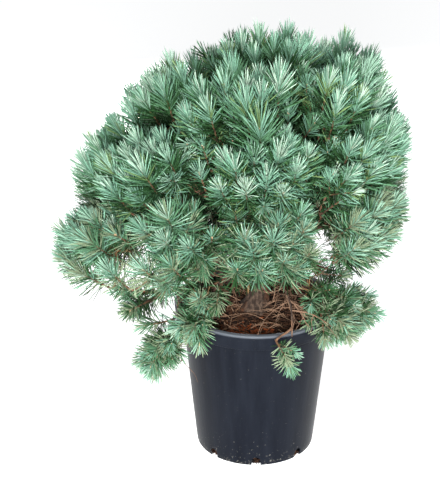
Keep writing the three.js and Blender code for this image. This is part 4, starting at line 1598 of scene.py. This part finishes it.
# Old needles stay along the outer part of a twig, behind the brush.
OLD_FROM = 0.35
for number, (mass, shoot) in enumerate(brushes):
    chance, odd = np.random.default_rng([number, 5]), ODD[brush_kind(mass)]
    add_brush(shoot["points"], shoot["foot"], shoot["length"], shoot["kind"], shoot["size"], odd, chance)
    if shoot["line"] and brush_kind(mass) != "sprig":
        start, end = cubic(*shoot["line"], OLD_FROM), cubic(*shoot["line"], 1)
        add_brush((end - start).normalized(), start, (end - start).length, "old", 1, odd, chance)
print("there are", sum(len(rows) for some in sprays.values() for rows in some), "needles")

# %% The needles as pieces of one tint each
NEEDLES_A_PIECE = 19000


def needles_piece(name, rows, material, seed):
    made = set_copies(name, needle, material, rows, seed)
    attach(made, "root")
    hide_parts(*needle_nodes)
    print(name, "has", len(rows), "needles")


for number, (tint, colour) in enumerate(TINTS.items()):
    rows = np.concatenate(sprays[tint])
    material, _ = finish("needles " + tint, colour, roughness=0.55, specular=0.22)
    share = math.ceil(len(rows) / NEEDLES_A_PIECE)
    for part, some in enumerate(np.array_split(rows, share)):
        needles_piece(f"needles_{tint}_{part + 1}", some, material, number * 10 + part)

# %% [markdown]
# ## Buds
# A pine ends each shoot with a brown bud crusted with resin, and three smaller ones stand round a strong
# shoot's. They are small enough to leave out, but from near by they end a brush as on the real tree. A bud
# is an egg-shaped turned piece, and the nodes set it like the needles.

# %% The buds on their shoots
# A bud's length, its width as a share of that, and how far back from the shoot's tip it starts.
BUD = {"main": 9, "side": 6, "slim": 0.5, "back": 1.5}
# The smaller buds round a main one are given as shares of its length.
ROUND_BUD = {"count": 3, "size": 0.66, "slim": 0.36, "back": 2.5, "along": 0.75, "aside": 0.66}


def bud_rows():
    rows = []
    for mass, shoot in brushes:
        chance = np.random.default_rng([mass["number"], len(rows), 9])
        axis, tip = shoot["points"], shoot["bud"]
        across, upward = square_to(axis)
        size = BUD["side" if is_side(shoot) else "main"]
        rows.append((*(tip - axis * BUD["back"]), *axis, size, size * BUD["slim"]))
        for i in range(0 if is_side(shoot) else ROUND_BUD["count"]):
            turn = chance.uniform(0, 1) + i * 2 * math.pi / ROUND_BUD["count"]
            aside = across * math.cos(turn) + upward * math.sin(turn)
            points = (axis * ROUND_BUD["along"] + aside * ROUND_BUD["aside"]).normalized()
            place = tip - axis * ROUND_BUD["back"]
            rows.append((*place, *points, size * ROUND_BUD["size"], size * ROUND_BUD["slim"]))
    return rows


rows = bud_rows()
resin, _ = finish("resinous buds", (0.55, 0.36, 0.22), roughness=0.55, specular=0.4)
buds = set_copies("buds", bud, resin, rows, seed=40)
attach(buds, "root")
for spare in (needle, bud):
    bpy.data.objects.remove(spare)
print("there are", len(rows), "buds")

# %% [markdown]
# ## Floor, light and camera
# The plant stands on a plain pale floor in soft light from large lamps. The camera looks down on it as the
# photographer did, from a little over the crown's height and from far off, with a long lens. Past the
# floor's end a low view shows the world, which is pale to the eye but gives only a little light, so shade
# stays soft.

# %% The world
GLOW = {"colour": (0.95, 0.98, 1, 1), "strength": 0.29}
BACKDROP = (0.93, 0.94, 0.945, 1)


def pale_world():
    """A backdrop that looks as pale as the floor and lights the plant much less than that."""
    world = bpy.data.worlds.new("pale studio")
    bpy.context.scene.world = world
    world.use_nodes = True
    nodes, link = world.node_tree.nodes, world.node_tree.links.new
    glow, backdrop = nodes["Background"], nodes.new("ShaderNodeBackground")
    glow.inputs["Color"].default_value = GLOW["colour"]
    glow.inputs["Strength"].default_value = GLOW["strength"]
    backdrop.inputs["Color"].default_value = BACKDROP
    path, mix = nodes.new("ShaderNodeLightPath"), nodes.new("ShaderNodeMixShader")
    link(path.outputs["Is Camera Ray"], mix.inputs["Fac"])
    link(glow.outputs["Background"], mix.inputs[1])
    link(backdrop.outputs["Background"], mix.inputs[2])
    link(mix.outputs["Shader"], nodes["World Output"].inputs["Surface"])


pale_world()
print("the world glows with a strength of", GLOW["strength"])

# %% The floor
FLOOR = {"half": 60, "glow": 0.4}


def pale_floor():
    """A floor that glows a little, so that it stays pale in the plant's shade."""
    pale, shader = finish("pale floor", (0.9, 0.9, 0.9), roughness=0.8, specular=0.2)
    shader.inputs["Emission Color"].default_value = (1, 1, 1, 1)
    shader.inputs["Emission Strength"].default_value = FLOOR["glow"]
    half = FLOOR["half"]
    corners = [(x * half, y * half, 0) for x, y in ((-1, -1), (1, -1), (1, 1), (-1, 1))]
    floor = mesh_object("floor", corners, [(0, 1, 2, 3)], pale)
    floor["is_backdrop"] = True


pale_floor()
print("the floor is", 2 * FLOOR["half"], "metres wide")

# %% The lamps
SUN = {"energy": 1.45, "angle": 20, "tilt": (45, -7, 0)}
# Place and size in metres, and power.
LAMPS = {
    "key": ((-0.3, -3.6, 1.35), 1.0, 335),
    "fill": ((2.6, -1.6, 1.5), 1.2, 26),
    "back": ((-0.6, 3.2, 1.0), 1.4, 60),
}
LAMPS_AIM = Vector((0, 0, 0.5))


def add_lamp(name, light, place, turn):
    lamp = bpy.data.objects.new(name, light)
    lamp.location = place
    lamp.rotation_euler = turn
    bpy.context.scene.collection.objects.link(lamp)
    lamp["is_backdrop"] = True


sun = bpy.data.lights.new("sky", "SUN")
sun.energy, sun.angle = SUN["energy"], math.radians(SUN["angle"])
add_lamp("sky", sun, (0, 0, 0), [math.radians(angle) for angle in SUN["tilt"]])
for name, (place, size, power) in LAMPS.items():
    light = bpy.data.lights.new(name, "AREA")
    light.shape, light.size, light.energy = "DISK", size, power
    add_lamp(name, light, place, (LAMPS_AIM - Vector(place)).to_track_quat("-Z", "Y").to_euler())
print("the light comes from a broad sun and", len(LAMPS), "lamps")

# %% The camera
CAMERA = {"lens": 108, "sensor": 36, "place": (-0.088, -3.2, 1.915), "looks_down": 23.4}
camera = bpy.data.objects.new("camera", bpy.data.cameras.new("camera"))
camera.data.lens, camera.data.sensor_width = CAMERA["lens"], CAMERA["sensor"]
camera.location = CAMERA["place"]
camera.rotation_euler = (math.radians(90 - CAMERA["looks_down"]), 0, 0)
bpy.context.scene.collection.objects.link(camera)
bpy.context.scene.camera = camera
bpy.context.scene.view_settings.view_transform = "Standard"
print("the camera looks down by", CAMERA["looks_down"], "degrees")

# %% The size of the whole
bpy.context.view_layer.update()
triangles = sum(len(face.vertices) - 2 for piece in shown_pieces() for face in piece.data.polygons)
print("the plant has", triangles, "triangles")
